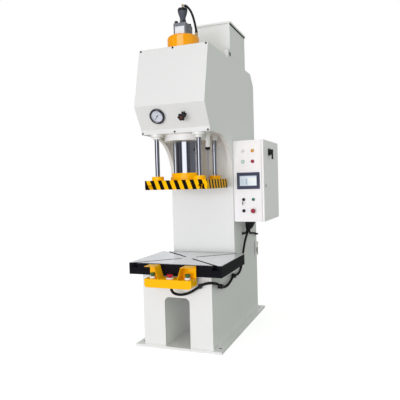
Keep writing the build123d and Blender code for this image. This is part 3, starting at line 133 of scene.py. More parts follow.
def length(name, description, default):
    """A length that a user may change."""
    return amount(name, description, default, unit="LENGTH", precision=4)


def colour(name, description, default):
    """A linear colour that a user may change."""
    return bpy.props.FloatVectorProperty(
        name=name, description=description, default=default, size=3, subtype="COLOR", min=0.0, max=1.0
    )


def turn(name, description, degrees):
    """An angle that a user may change."""
    return amount(name, description, math.radians(degrees), subtype="ANGLE")


class PressColours(bpy.types.PropertyGroup):
    """Colours of the paints, metals and plastics."""

    enamel: colour("Enamel", "White enamel of the frame and hood", (0.818, 0.822, 0.812))
    # Darker copy of the white enamel: painted shade for the extra light that the cover's upward tilt catches
    cover: colour("Cover", "White enamel of the head's front cover", (0.752, 0.752, 0.745))
    coat: colour("Cabinet coat", "White powder coat of the cabinet", (0.95, 0.93, 0.94))
    yellow: colour("Safety yellow", "Orange yellow enamel of the cylinder cap", (0.98, 0.385, 0.001))
    station: colour("Station yellow", "Yellow enamel of the station, platen and collars", (0.98, 0.50, 0.002))
    stripe: colour("Stripe black", "Black of the warning stripes", (0.005, 0.004, 0.003))
    ground: colour("Ground iron", "Ground top of the table and platen face", (0.70, 0.71, 0.73))
    table: colour("Table black", "Black paint on the table's sides", (0.004, 0.004, 0.006))
    # Darker than plated chrome: painted shade in what the ram and rods mirror
    chrome: colour("Chrome", "Plated ram and rods", (0.37, 0.385, 0.43))
    steel: colour("Bright steel", "Turned fittings and bezels", (0.62, 0.62, 0.60))
    oxide: colour("Black oxide", "Screws, bolts, ferrules and key", (0.035, 0.033, 0.034))
    ring: colour("Gauge ring", "Dark bright ring of the gauge", (0.085, 0.085, 0.10))
    casting: colour("Valve casting", "Grey paint of the valve's bonnet", (0.085, 0.09, 0.112))
    block: colour("Valve block", "Paler grey paint of the valve's block", (0.19, 0.195, 0.225))
    plate: colour("Valve plate", "Blank plate on the valve's block", (0.76, 0.78, 0.83))
    # Paler copy of the white enamel: painted light that brightens the shaded knee space and tank
    lining: colour("Lining", "Enamel inside the knee space and tank", (0.90, 0.915, 0.88))
    rubber: colour("Rubber", "Conduits, hose, boot and seals", (0.012, 0.012, 0.013))
    plastic: colour("Black plastic", "Knobs, switches, clips and needle", (0.018, 0.018, 0.020))
    slate: colour("Slate", "Touch panel frame", (0.055, 0.063, 0.105))
    palm: colour("Palm green", "Palm button heads", (0.055, 0.15, 0.045))
    start: colour("Start green", "Start button ring", (0.16, 0.50, 0.33))
    pale: colour("Start pale", "Start button lens", (0.72, 0.86, 0.78))
    reset: colour("Reset green", "Reset button", (0.045, 0.19, 0.11))
    red: colour("Stop red", "Emergency stop of the station", (0.50, 0.016, 0.035))
    stop: colour("Cabinet red", "Darker red of the cabinet's stop buttons", (0.34, 0.028, 0.055))
    lamp: colour("Lamp white", "Power lamp lens", (0.84, 0.83, 0.80))
    amber: colour("Lamp amber", "Ready lamp lens", (0.72, 0.36, 0.035))
    dial: colour("Dial white", "Station bezels and screen", (0.82, 0.83, 0.88))
    face: colour("Gauge face", "Blue white dial of the pressure gauge", (0.66, 0.68, 0.80))
    mark: colour("Gauge marks", "Faded ticks and numbers of the pressure gauge", (0.16, 0.17, 0.22))
    brass: colour("Brass", "Hose fittings, elbow nut and oil", (0.45, 0.36, 0.20))
    insert: colour("Knob insert", "Insert in the pressure knob", (0.13, 0.035, 0.025))
    motor: colour("Motor paint", "Motor and pump under the hood", (0.16, 0.22, 0.27))
    gear: colour("Gear plastic", "Control gear in the cabinet", (0.42, 0.43, 0.44))


class PressStage(bpy.types.PropertyGroup):
    """Camera, light and floor."""

    eye: bpy.props.FloatVectorProperty(
        name="Eye", description="Where the camera stands", size=3, subtype="TRANSLATION", unit="LENGTH",
        default=(1.46955, -3.94971, 1.27758), precision=5,
    )
    azimuth: turn("Azimuth", "Camera's turn round the press, from straight in front", 21.0163)
    elevation: turn("Elevation", "Camera's tilt above level", 2.1774)
    roll: turn("Roll", "Camera's turn about its own axis", -1.5715)
    lens: amount("Lens", "Focal length on a 36 mm sensor", 42.717, unit="CAMERA")
    key: amount("Key", "Power of the wide soft box behind the camera, in watts", 365.0)
    key_turn: turn("Key turn", "Soft box's turn from the camera, below zero to its left", -23.5)
    box_width: length("Box width", "Width of the soft box", 6.4)
    box_height: length("Box height", "Height of the soft box", 2.4)
    box_distance: length("Box distance", "Soft box's distance from the press", 8.0)
    sky: amount("Sky", "Strength of the even light from all round", 0.63)
    glow: amount("Floor glow", "White added to the floor in the picture", 0.66)


class PressDetails(bpy.types.PropertyGroup):
    """Sizes of the details that the frame leaves open."""

    station_conduit: length("Station conduit", "Radius over the ribs of the station's conduit", 0.0104)
    wall_conduit: length("Wall conduit", "Radius over the ribs of the two short conduits", 0.0088)
    rib_pitch: length("Rib pitch", "Distance between two ribs of a conduit", 0.0038)
    rib_depth: length("Rib depth", "Depth of the groove between two ribs", 0.0011)
    boot_ribs: bpy.props.IntProperty(name="Boot ribs", description="Ribs on the cable boot", default=7)
    boot_foot: length("Boot foot", "Radius of the cable boot's lower end", 0.024)
    boot_offset: length("Boot offset", "Lower end's distance from the side plate", 0.043)
    boot_groove: length("Boot groove", "Depth of the grooves in the cable boot", 0.0035)
    hose_drop: turn("Hose drop", "How steeply the hose leaves its elbow", 30.0)
    ferrule: length("Ferrule", "Length of the crimped sleeve on each hose end", 0.022)
    ferrule_wall: length("Ferrule wall", "How far the sleeve stands off the hose", 0.0014)
    stripe_pitch: length("Stripe pitch", "Width of one black and one yellow stripe", 0.0662)
    stripe_slope: amount("Stripe slope", "Sideways run of the stripes for each unit of height", 0.37)
    stripe_shift: length("Stripe shift", "Where the first stripe starts along the platen", -0.0005)
    screw_head: length("Screw head", "Diameter of the valve's socket screws", 0.028)
    screw_rise: length("Screw rise", "Height of the valve's socket screw heads", 0.018)
    weld: length("Weld", "Leg of the weld beads on the base plate", 0.007)
    weld_ripple: length("Weld ripple", "Distance between two ripples of a weld bead", 0.006)
    weld_end: length("Weld end", "How far a bead stops short of a corner", 0.004)
    weld_knee: length("Weld knee", "Where the front beads stop beside the knee space", 0.106)
    edge: length("Soft edge", "Radius that paint leaves on plate edges", 0.0016)


# Surfaces on a grid, as arrays of points and lists of faces

def grid_quads(rows, columns):
    """Quads between neighbouring points of a grid, with the last column joined to the first."""
    row, column = np.meshgrid(np.arange(rows - 1), np.arange(columns), indexing="ij")
    after = (column + 1) % columns
    here, above = row * columns, (row + 1) * columns
    return np.stack([here + column, here + after, above + after, above + column], -1).reshape(-1, 4).tolist()


def lathe(profile, steps=64, lobes=0, depth=0.0):
    """The point (r cos a, r sin a, h) for each (r, h) of a profile and each angle a of a full turn.

    With lobes, r is multiplied by 1 - depth (1 - cos(lobes a)) / 2; depth may differ along the profile.
    """
    profile = np.asarray(profile, float)
    angle = np.linspace(0, TAU, steps, endpoint=False)
    cut = np.broadcast_to(np.asarray(depth, float), len(profile))[:, None]
    radius = profile[:, :1] * (1 - cut * (1 - np.cos(lobes * angle)) / 2)
    height = np.broadcast_to(profile[:, 1:], radius.shape)
    points = np.stack([radius * np.cos(angle), radius * np.sin(angle), height], -1)
    return points.reshape(-1, 3), grid_quads(len(profile), steps)


def eased(corners, radius, steps=4):
    """An open line with each inner corner C swapped for (1-t)^2 A + 2 t (1-t) C + t^2 B, where A and B lie
    a radius before and after the corner."""
    corners = np.asarray(corners, float)
    t = np.linspace(0, 1, steps + 1)[:, None]
    line = [corners[:1]]
    for before, corner, after in zip(corners, corners[1:], corners[2:]):
        ends = []
        for other in (before, after):
            run = other - corner
            size = np.linalg.norm(run)
            ends.append(corner + run * min(radius, size / 2) / size)
        line.append((1 - t) ** 2 * ends[0] + 2 * t * (1 - t) * corner + t ** 2 * ends[1])
    return np.concatenate([*line, corners[-1:]])


def rounded_box(low, high, radius, steps=3):
    """Corner centres plus radius times (cos b cos a, cos b sin a, sin b), with a round four quarter turns and
    b over two, so that flat sides lie between the round edges."""
    low, high = np.asarray(low, float), np.asarray(high, float)
    quarter = np.linspace(0, math.pi / 2, steps + 1)
    a = (quarter + np.arange(4)[:, None] * math.pi / 2).ravel()
    b = np.concatenate([quarter - math.pi / 2, quarter])
    half = (high - low) / 2 - radius
    side_x = np.repeat([1, -1, -1, 1], steps + 1) * half[0]
    side_y = np.repeat([1, 1, -1, -1], steps + 1) * half[1]
    side_z = np.repeat([-1, 1], steps + 1) * half[2]
    across = side_x + radius * np.outer(np.cos(b), np.cos(a))
    along = side_y + radius * np.outer(np.cos(b), np.sin(a))
    up = np.broadcast_to((side_z + radius * np.sin(b))[:, None], across.shape)
    points = (low + high) / 2 + np.stack([across, along, up], -1).reshape(-1, 3)
    rows, columns = across.shape
    ring = list(range(columns))
    top = [(rows - 1) * columns + index for index in ring]
    return points, grid_quads(rows, columns) + [ring[::-1], top]


def tube(path, radius, sides, reference, level=False):
    """Round each path point, radius times (cos a) on one side direction plus (sin a) on the other, both square
    to the path, or level if asked; the ends close on the path."""
    path = np.asarray(path, float)
    along = np.gradient(path, axis=0)
    if level:
        along[:, :2] = 0.0
    along /= np.linalg.norm(along, axis=1, keepdims=True)
    side = np.cross(along, reference)
    side /= np.linalg.norm(side, axis=1, keepdims=True)
    up = np.cross(side, along)
    radius = np.broadcast_to(np.asarray(radius, float), len(path))
    ends = [0, *range(len(path)), len(path) - 1]
    reach = np.concatenate([[0.0], radius, [0.0]])[:, None, None]
    angle = np.linspace(0, TAU, sides, endpoint=False)[None, :, None]
    points = path[ends, None] + reach * (np.cos(angle) * side[ends, None] + np.sin(angle) * up[ends, None])
    return points.reshape(-1, 3), grid_quads(len(ends), sides)


def spline_points(route, resolution=40):
    """Points along a smooth line that has the route as its control points."""
    curve = bpy.data.curves.new("route", "CURVE")
    curve.dimensions = "3D"
    curve.resolution_u = resolution
    spline = curve.splines.new("NURBS")
    spline.points.add(len(route) - 1)
    spline.points.foreach_set("co", np.column_stack([route, np.ones(len(route))]).ravel())
    spline.order_u = 3
    spline.use_endpoint_u = True
    points, _ = mesh_arrays(curve)
    return points


def mesh_arrays(curve):
    """Points and faces that Blender makes of a curve or of text."""
    carrier = bpy.data.objects.new(curve.name, curve)
    mesh = bpy.data.meshes.new_from_object(carrier)
    points = np.empty(3 * len(mesh.vertices))
    mesh.vertices.foreach_get("co", points)
    faces = [list(polygon.vertices) for polygon in mesh.polygons]
    bpy.data.meshes.remove(mesh)
    bpy.data.objects.remove(carrier)
    bpy.data.curves.remove(curve)
    return points.reshape(-1, 3), faces


def evenly(points, spacing):
    """The same line with its points a spacing apart."""
    reach = np.concatenate([[0.0], np.cumsum(np.linalg.norm(np.diff(points, axis=0), axis=1))])
    places = np.linspace(0, reach[-1], int(reach[-1] / spacing) + 1)
    return np.stack([np.interp(places, reach, column) for column in points.T], -1), places


def local_frame(origin, outward, across=(1.0, 0.0, 0.0)):
    """A matrix with Z along outward and X as near to across as it can be."""
    z = np.asarray(outward, float) / np.linalg.norm(outward)
    x = np.asarray(across, float) - np.dot(across, z) * z
    x /= np.linalg.norm(x)
    matrix = np.eye(4)
    matrix[:3] = np.column_stack([x, np.cross(z, x), z, origin])
    return matrix


def placed(shell, matrix):
    """A shell moved from a local frame into the press's frame."""
    points, faces = shell
    return points @ matrix[:3, :3].T + matrix[:3, 3], faces


def turned(corners, ease, steps, place, *lobes):
    """A lathe surface of eased corners, in its place."""
    return placed(lathe(eased(corners, ease), steps, *lobes), place)


def joined(shells):
    """Several shells as one list of points and faces."""
    points, faces, start = [], [], 0
    for shell_points, shell_faces in shells:
        points.append(shell_points)
        faces += [[index + start for index in face] for face in shell_faces]
        start += len(shell_points)
    return np.concatenate(points), faces


def make_piece(name, shells, finish, body="frame", replaces=(), sharp=35.0):
    """A finished object from shells: doubles merged, faces outwards, riding on its body."""
    points, faces = joined(shells)
    mesh = bpy.data.meshes.new(name)
    mesh.from_pydata(points.tolist(), [], faces)
    shape = bmesh.new()
    shape.from_mesh(mesh)
    bmesh.ops.remove_doubles(shape, verts=shape.verts, dist=1e-6)
    bmesh.ops.recalc_face_normals(shape, faces=shape.faces)
    shape.to_mesh(mesh)
    shape.free()
    mesh.shade_smooth()
    mesh.set_sharp_from_angle(angle=math.radians(sharp))
    mesh.materials.append(FINISHES[finish])
    piece = bpy.data.objects.new(name, mesh)
    bpy.context.scene.collection.objects.link(piece)
    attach(piece, body)
    if replaces:
        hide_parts(*replaces)


# Finishes

def feed(tree, socket, value):
    """Links a socket to the one given as its value, or sets it."""
    if isinstance(value, bpy.types.NodeSocket):
        tree.links.new(value, socket)
    else:
        socket.default_value = value


def add_node(tree, kind, inputs, output=0, **settings):
    """Adds a node to a tree, links or sets its inputs, and returns one of its outputs."""
    node = tree.nodes.new("ShaderNode" + kind)
    for setting, value in settings.items():
        setattr(node, setting, value)
    for socket, value in inputs.items():
        feed(tree, node.inputs[socket], value)
    return node.outputs[output]


class Finish:
    """A material with one principled shader, and the nodes that feed it."""

    def __init__(self, name, tint, roughness=0.4, metallic=0.0, **sockets):
        self.material = bpy.data.materials.new(name)
        self.material.use_nodes = True
        self.tree = self.material.node_tree
        self.add = partial(add_node, self.tree)
        self.shader = self.tree.nodes["Principled BSDF"]
        self.tint = tuple(tint)
        self.set("Base Color", (*self.tint, 1.0))
        self.set("Roughness", roughness)
        self.set("Metallic", metallic)
        for socket, value in sockets.items():
            self.set(socket.replace("_", " ").title().replace("Ior", "IOR"), value)
        self.coordinates = self.tree.nodes.new("ShaderNodeTexCoord")
        self.place = self.coordinates.outputs["Object"]

    def set(self, socket, value):
        """Gives one of the shader's sockets a value, or links it."""
        feed(self.tree, self.shader.inputs[socket], value)

    def math(self, operation, a, b=0.0):
        """One sum on one or two numbers."""
        return self.add("Math", {0: a, 1: b}, operation=operation)

    def noise(self, scale, detail=2.0, stretch=None):
        """Cloudy values on Object coordinates, drawn out along an axis if asked."""
        place = self.place
        if stretch:
            place = self.add("Mapping", {"Vector": place, "Scale": stretch})
        return self.add("TexNoise", {"Vector": place, "Scale": scale, "Detail": detail})

    def ramp(self, value, low, high, start=0.0, end=1.0):
        """Values between low and high spread from start to end, and held there."""
        return self.add("MapRange", {0: value, 1: low, 2: high, 3: start, 4: end})

    def mix(self, factor, a, b):
        """A colour between two."""
        inputs = {0: factor}
        for socket, tone in ((6, a), (7, b)):
            inputs[socket] = tone if isinstance(tone, bpy.types.NodeSocket) else (*tone, 1.0)
        return self.add("Mix", inputs, output=2, data_type="RGBA")

    def shade(self, factor):
        """The tint made lighter or darker."""
        return tuple(min(1.0, channel * factor) for channel in self.tint)

    def clouded(self, scale=0.8, spread=0.008):
        """The tint with slow drifts in its lightness."""
        drift = self.ramp(self.noise(scale, 3.0), 0.35, 0.65)
        return self.mix(drift, self.shade(1 - spread), self.shade(1 + spread))

    def bump(self, height, strength, distance, edge=None):
        """A normal that follows a height, on softened edges if asked."""
        inputs = {"Height": height, "Strength": strength, "Distance": distance}
        if edge:
            inputs["Normal"] = self.add("Bevel", {"Radius": edge}, samples=4)
        return self.add("Bump", inputs)

    def axis(self, name, source=None):
        """One axis of the Object coordinates or of another vector."""
        return self.add("SeparateXYZ", {0: source or self.place}, name)


def paint(name, tint, roughness, peel=70.0, gloss=0.0, shine=0.5):
    """Brushed or sprayed enamel: slow drifts of tone, orange peel and softened edges."""
    edge = bpy.context.scene.press_details.edge
    finish = Finish(name, tint, roughness, coat_weight=gloss, coat_roughness=0.04, coat_ior=1.7,
                    specular_ior_level=shine)
    finish.set("Base Color", finish.clouded())
    finish.set("Roughness", finish.ramp(finish.noise(3.0), 0.3, 0.7, roughness - 0.02, roughness + 0.03))
    finish.set("Normal", finish.bump(finish.noise(peel), 0.008, 0.0004, edge))
    return finish


def metal(name, tint, roughness, stretch=None, scale=600.0, depth=0.04):
    """Bare metal with fine marks, drawn out along the way it was turned or ground."""
    finish = Finish(name, tint, roughness, 1.0)
    marks = finish.noise(scale, 4.0, stretch)
    finish.set("Roughness", finish.ramp(marks, 0.25, 0.75, roughness * 0.75, roughness * 1.3))
    finish.set("Base Color", finish.clouded(4.0, 0.04))
    if depth:
        finish.set("Normal", finish.bump(marks, depth, 0.0003))
    return finish


def moulding(name, tint, roughness):
    """Moulded plastic or rubber with a fine grain."""
    finish = Finish(name, tint, roughness, specular_ior_level=0.2)
    finish.set("Base Color", finish.clouded(12.0, 0.06))
    grains = finish.noise(900.0, 1.0)
    finish.set("Roughness", finish.ramp(grains, 0.3, 0.7, roughness - 0.06, roughness + 0.08))
    finish.set("Normal", finish.bump(grains, 0.12, 0.0003))
    return finish


def platen_paint(tints, details):
    """Yellow enamel, with black stripes where the surface stands upright and ground iron underneath.

    On an upright face with normal (nx, ny), u = -ny x + nx y runs along the face, and a stripe is black where
    the fraction of (u + slope z - shift) / pitch is under one half.
    """
    finish = paint("platen_stripes", tints.station, 0.4, shine=0.05)
    facing = finish.coordinates.outputs["Normal"]
    nx, ny, nz = (finish.axis(name, facing) for name in "XYZ")
    x, y, z = (finish.axis(name) for name in "XYZ")
    run = finish.math("SUBTRACT", finish.math("MULTIPLY", nx, y), finish.math("MULTIPLY", ny, x))
    slant = finish.math("ADD", run, finish.math("MULTIPLY", z, details.stripe_slope))
    phase = finish.math("DIVIDE", finish.math("SUBTRACT", slant, details.stripe_shift), details.stripe_pitch)
    wobble = finish.ramp(finish.noise(140.0), 0.0, 1.0, -0.012, 0.012)
    stripe = finish.math("LESS_THAN", finish.math("FRACT", finish.math("ADD", phase, wobble)), 0.5)
    upright = finish.math("LESS_THAN", finish.math("ABSOLUTE", nz), 0.5)
    yellow = finish.clouded()
    striped = finish.mix(finish.math("MULTIPLY", stripe, upright), yellow, tints.stripe)
    below = finish.math("LESS_THAN", nz, -0.5)
    finish.set("Base Color", finish.mix(below, striped, tints.ground))
    finish.set("Metallic", below)
    return finish.material


def table_iron(tints):
    """Ground iron on top, with fine grinding marks along X, and black paint on the sides."""
    finish = Finish("table_iron", tints.ground, 0.3, specular_ior_level=0.1)
    upward = finish.math("GREATER_THAN", finish.axis("Z", finish.coordinates.outputs["Normal"]), 0.5)
    deep = finish.math("LESS_THAN", finish.axis("Z"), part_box("work_table")[1].z - 0.004)
    top = finish.math("MULTIPLY", upward, finish.math("SUBTRACT", 1.0, deep))
    marks = finish.noise(420.0, 3.0, (0.04, 1.0, 1.0))
    stains = finish.ramp(finish.noise(5.0, 4.0), 0.42, 0.72)
    tone = finish.mix(stains, finish.shade(1.03), finish.shade(0.93))
    black = finish.mix(finish.noise(30.0), tints.table, tuple(channel * 1.8 for channel in tints.table))
    finish.set("Base Color", finish.mix(top, black, tone))
    finish.set("Metallic", finish.math("MULTIPLY", top, 0.9))
    ground_roughness = finish.ramp(marks, 0.3, 0.7, 0.16, 0.24)
    finish.set("Roughness", finish.ramp(top, 0.0, 1.0, 0.6, ground_roughness))
    edge = bpy.context.scene.press_details.edge
    finish.set("Normal", finish.bump(marks, 0.02, 0.0002, edge))
    return finish.material


def screen_fields(tints):
    """A pale screen with soft blank fields: a top bar, a side column and three tiles."""
    low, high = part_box("touch_panel")
    finish = Finish("screen_fields", tints.dial, 0.12)
    x = finish.ramp(finish.axis("X"), low.x, high.x)
    z = finish.ramp(finish.axis("Z"), low.z, high.z)

    def inside(value, start, end):
        above, below = finish.math("GREATER_THAN", value, start), finish.math("LESS_THAN", value, end)
        return finish.math("MULTIPLY", above, below)

    tone = finish.mix(z, (0.66, 0.73, 0.80), (0.80, 0.84, 0.88))
    fields = (
        ((0.13, 0.87), (0.70, 0.80), (0.56, 0.64, 0.74)),
        ((0.16, 0.34), (0.24, 0.66), (0.60, 0.70, 0.80)),
        ((0.38, 0.46), (0.26, 0.64), (0.42, 0.52, 0.60)),
        ((0.50, 0.84), (0.24, 0.42), (0.74, 0.80, 0.82)),
        ((0.50, 0.84), (0.46, 0.64), (0.78, 0.82, 0.80)),
    )
    for across, up, field in fields:
        mask = finish.math("MULTIPLY", inside(x, *across), inside(z, *up))
        tone = finish.mix(mask, tone, field)
    finish.set("Base Color", tone)
    finish.set("Emission Color", tone)
    finish.set("Emission Strength", 0.12)
    return finish.material


GLASS_TINT = (0.95, 0.98, 0.98)


def clear(name, tint, roughness=0.02, alpha=0.14):
    """Clear glass or acrylic, faintly smeared, thin enough to let light through without a shadow."""
    finish = Finish(name, tint, roughness, alpha=alpha)
    smear = finish.noise(40.0, 3.0)
    finish.set("Roughness", finish.ramp(smear, 0.4, 0.8, roughness, roughness + 0.03))
    return finish.material


def lens(name, tint):
    """A moulded lamp lens that glows a little through its facets."""
    finish = Finish(name, tint, 0.14, coat_weight=0.6, subsurface_weight=0.15, subsurface_radius=(0.004,) * 3)
    facets = finish.add("TexVoronoi", {"Vector": finish.place, "Scale": 420.0})
    finish.set("Base Color", finish.mix(facets, finish.shade(1.12), finish.shade(0.86)))
    finish.set("Normal", finish.bump(facets, 0.15, 0.0006))
    return finish.material


# Each plain finish: how it is made, its material's name and its roughness, with what differs from the usual
PLAIN_FINISHES = {
    "enamel": (paint, "white_enamel", 0.30, {}),
    # Cover enamel is the white enamel darkened as painted shade
    "cover": (paint, "cover_enamel", 0.30, {}),
    "coat": (paint, "cabinet_coat", 0.46, {"peel": 110.0}),
    "yellow": (paint, "safety_yellow", 0.4, {"gloss": 1.0, "shine": 0.0}),
    "station": (paint, "station_yellow", 0.4, {"gloss": 0.3, "shine": 0.0}),
    "casting": (paint, "valve_casting", 0.48, {"peel": 120.0, "shine": 0.2}),
    "block": (paint, "valve_block", 0.45, {"peel": 90.0, "shine": 0.2}),
    "plate": (paint, "valve_plate", 0.5, {"shine": 0.2}),
    # Lining enamel is the white enamel lightened as painted light
    "lining": (paint, "lining_enamel", 0.4, {}),
    "motor": (paint, "motor_paint", 0.4, {}),
    # Chrome darkened as painted shade in its reflections
    "chrome": (metal, "hard_chrome", 0.045, {"stretch": (1.0, 1.0, 0.03), "scale": 8.0, "depth": 0.0}),
    "steel": (metal, "turned_steel", 0.26, {}),
    "brass": (metal, "dull_brass", 0.34, {}),
    "oxide": (metal, "black_oxide", 0.38, {}),
    "ring": (metal, "gauge_ring", 0.12, {"scale": 60.0, "depth": 0.0}),
    "face": (moulding, "gauge_face", 0.4, {}),
    "mark": (moulding, "gauge_mark", 0.5, {}),
    "stop": (moulding, "cabinet_red", 0.3, {}),
    "rubber": (moulding, "black_rubber", 0.52, {}),
    "plastic": (moulding, "black_plastic", 0.36, {}),
    "slate": (moulding, "slate_plastic", 0.34, {}),
    "palm": (moulding, "palm_green", 0.24, {}),
    "reset": (moulding, "reset_green", 0.26, {}),
    "red": (moulding, "stop_red", 0.22, {}),
    "dial": (moulding, "blank_white", 0.4, {}),
    "gear": (moulding, "gear_plastic", 0.42, {}),
    "insert": (moulding, "knob_insert", 0.3, {}),
}
LENSES = {"start": "start_ring", "pale": "start_lens", "lamp": "power_lens", "amber": "ready_lens"}


def make_finishes(tints, details):
    """Every finish by name."""
    made = {
        key: kind(name, getattr(tints, key), roughness, **rest).material
        for key, (kind, name, roughness, rest) in PLAIN_FINISHES.items()
    }
    made.update((key, lens(name, getattr(tints, key))) for key, name in LENSES.items())
    made["platen"] = platen_paint(tints, details)
    made["table"] = table_iron(tints)
    made["screen"] = screen_fields(tints)
    made["glass"] = clear("gauge_glass", GLASS_TINT)
    return made


# The finishes by name, once they are made, and the nodes of the frame that wear each
FINISHES = {}
NODE_FINISHES = {
    "enamel": (
        "base_plate left_side_plate right_side_plate pedestal_front_plate pedestal_top_plate throat_plate "
        "head_bottom_plate head_top_plate rear_plate cylinder_barrel cylinder_flange "
        "guide_bushes stroke_guide hood_shell hood_lid"
    ),
    # The front cover wears the darker enamel as painted shade
    "cover": "front_cover",
    # The knee walls wear the paler enamel as painted light
    "lining": "tank_bulkheads",
    "coat": "cabinet_box cabinet_door hinge_pins",
    "yellow": "cylinder_cap",
    "station": "station_tray platen_collars",
    "platen": "platen",
    "table": "work_table",
    "chrome": "ram guide_rods stroke_rod",
    "steel": "key_switch door_lock",
    "brass": "hose_fittings",
    "oxide": "cover_screws",
    "casting": "valve_bonnet",
    "block": "valve_block",
    "rubber": "valve_hose conduits cable_boot stroke_wiper",
    "plastic": (
        "knob_lock_ring pressure_knob button_bezels selector_switch main_switch_base main_switch_handle "
        "level_gauge gauge_needle gauge_case conduit_fittings"
    ),
    "slate": "touch_panel",
    "start": "start_button",
    "reset": "reset_button",
    "palm": "left_palm_button right_palm_button",
    "red": "stop_button cabinet_estop station_estop",
    "lamp": "pilot_lamps",
    "glass": "gauge_glass",
    "gear": "switchgear",
    "motor": "power_unit",
}


class PRESS_OT_finishes(bpy.types.Operator):
    """Makes every finish and puts one on each node of the frame"""

    bl_idname = "press.finishes"
    bl_label = "Finishes"

    def execute(self, context):
        FINISHES.update(make_finishes(context.scene.press_colours, context.scene.press_details))
        for finish, names in NODE_FINISHES.items():
            for name in names.split():
                materials = NODES[name].data.materials
                materials.clear()
                materials.append(FINISHES[finish])
        return {"FINISHED"}


class PRESS_OT_conduits(bpy.types.Operator):
    """Makes the three ribbed conduits along their routes and the ribbed boot they enter"""

    bl_idname = "press.conduits"
    bl_label = "Conduits and boot"

    def execute(self, context):
        details = context.scene.press_details
        routes = {
            "station_conduit": (STATION_ROUTE, (1.0, -1.0, 0.0)),
            "stub_conduit": (STUB_ROUTE, (1.0, -1.0, 0.2)),
            "rear_conduit": (REAR_ROUTE, (1.0, 1.0, 0.3)),
        }
        for name, (route, reference) in routes.items():
            radius = details.station_conduit if route is STATION_ROUTE else details.wall_conduit
            control = np.array(route) + (SIDE_FACE, FRONT_FACE, 0.0)
            path, reach = evenly(spline_points(control), details.rib_pitch / 5)
            groove = (1 + np.cos(reach * TAU / details.rib_pitch)) / 2
            shell = tube(path, radius - details.rib_depth * groove ** 2, 18, reference)
            make_piece(name, [shell], "rubber", replaces=["conduits"], sharp=80.0)
        self.boot(details)
        return {"FINISHED"}

    def boot(self, details):
        """Circles that widen and lean outwards by share ** 0.6 as they rise, with a dip between ribs."""
        low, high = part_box("cable_boot")
        top = (high.y - low.y) / 2
        foot = details.boot_foot
        share = np.linspace(0, 1, 85)
        ribs = (1 - np.cos(share * TAU * details.boot_ribs)) / 2
        bell = share ** 0.6
        radius = foot + (top - foot) * bell - details.boot_groove * (1 - ribs) * (share < 0.93)
        lean = np.column_stack([
            SIDE_FACE + details.boot_offset + (high.x - top - SIDE_FACE - details.boot_offset) * bell,
            np.full_like(share, middle("cable_boot").y), low.z + (high.z - low.z) * share,
        ])
        shell = tube(lean, radius, 56, REARWARD, level=True)
        make_piece("ribbed_boot", [shell], "rubber", replaces=["cable_boot"])


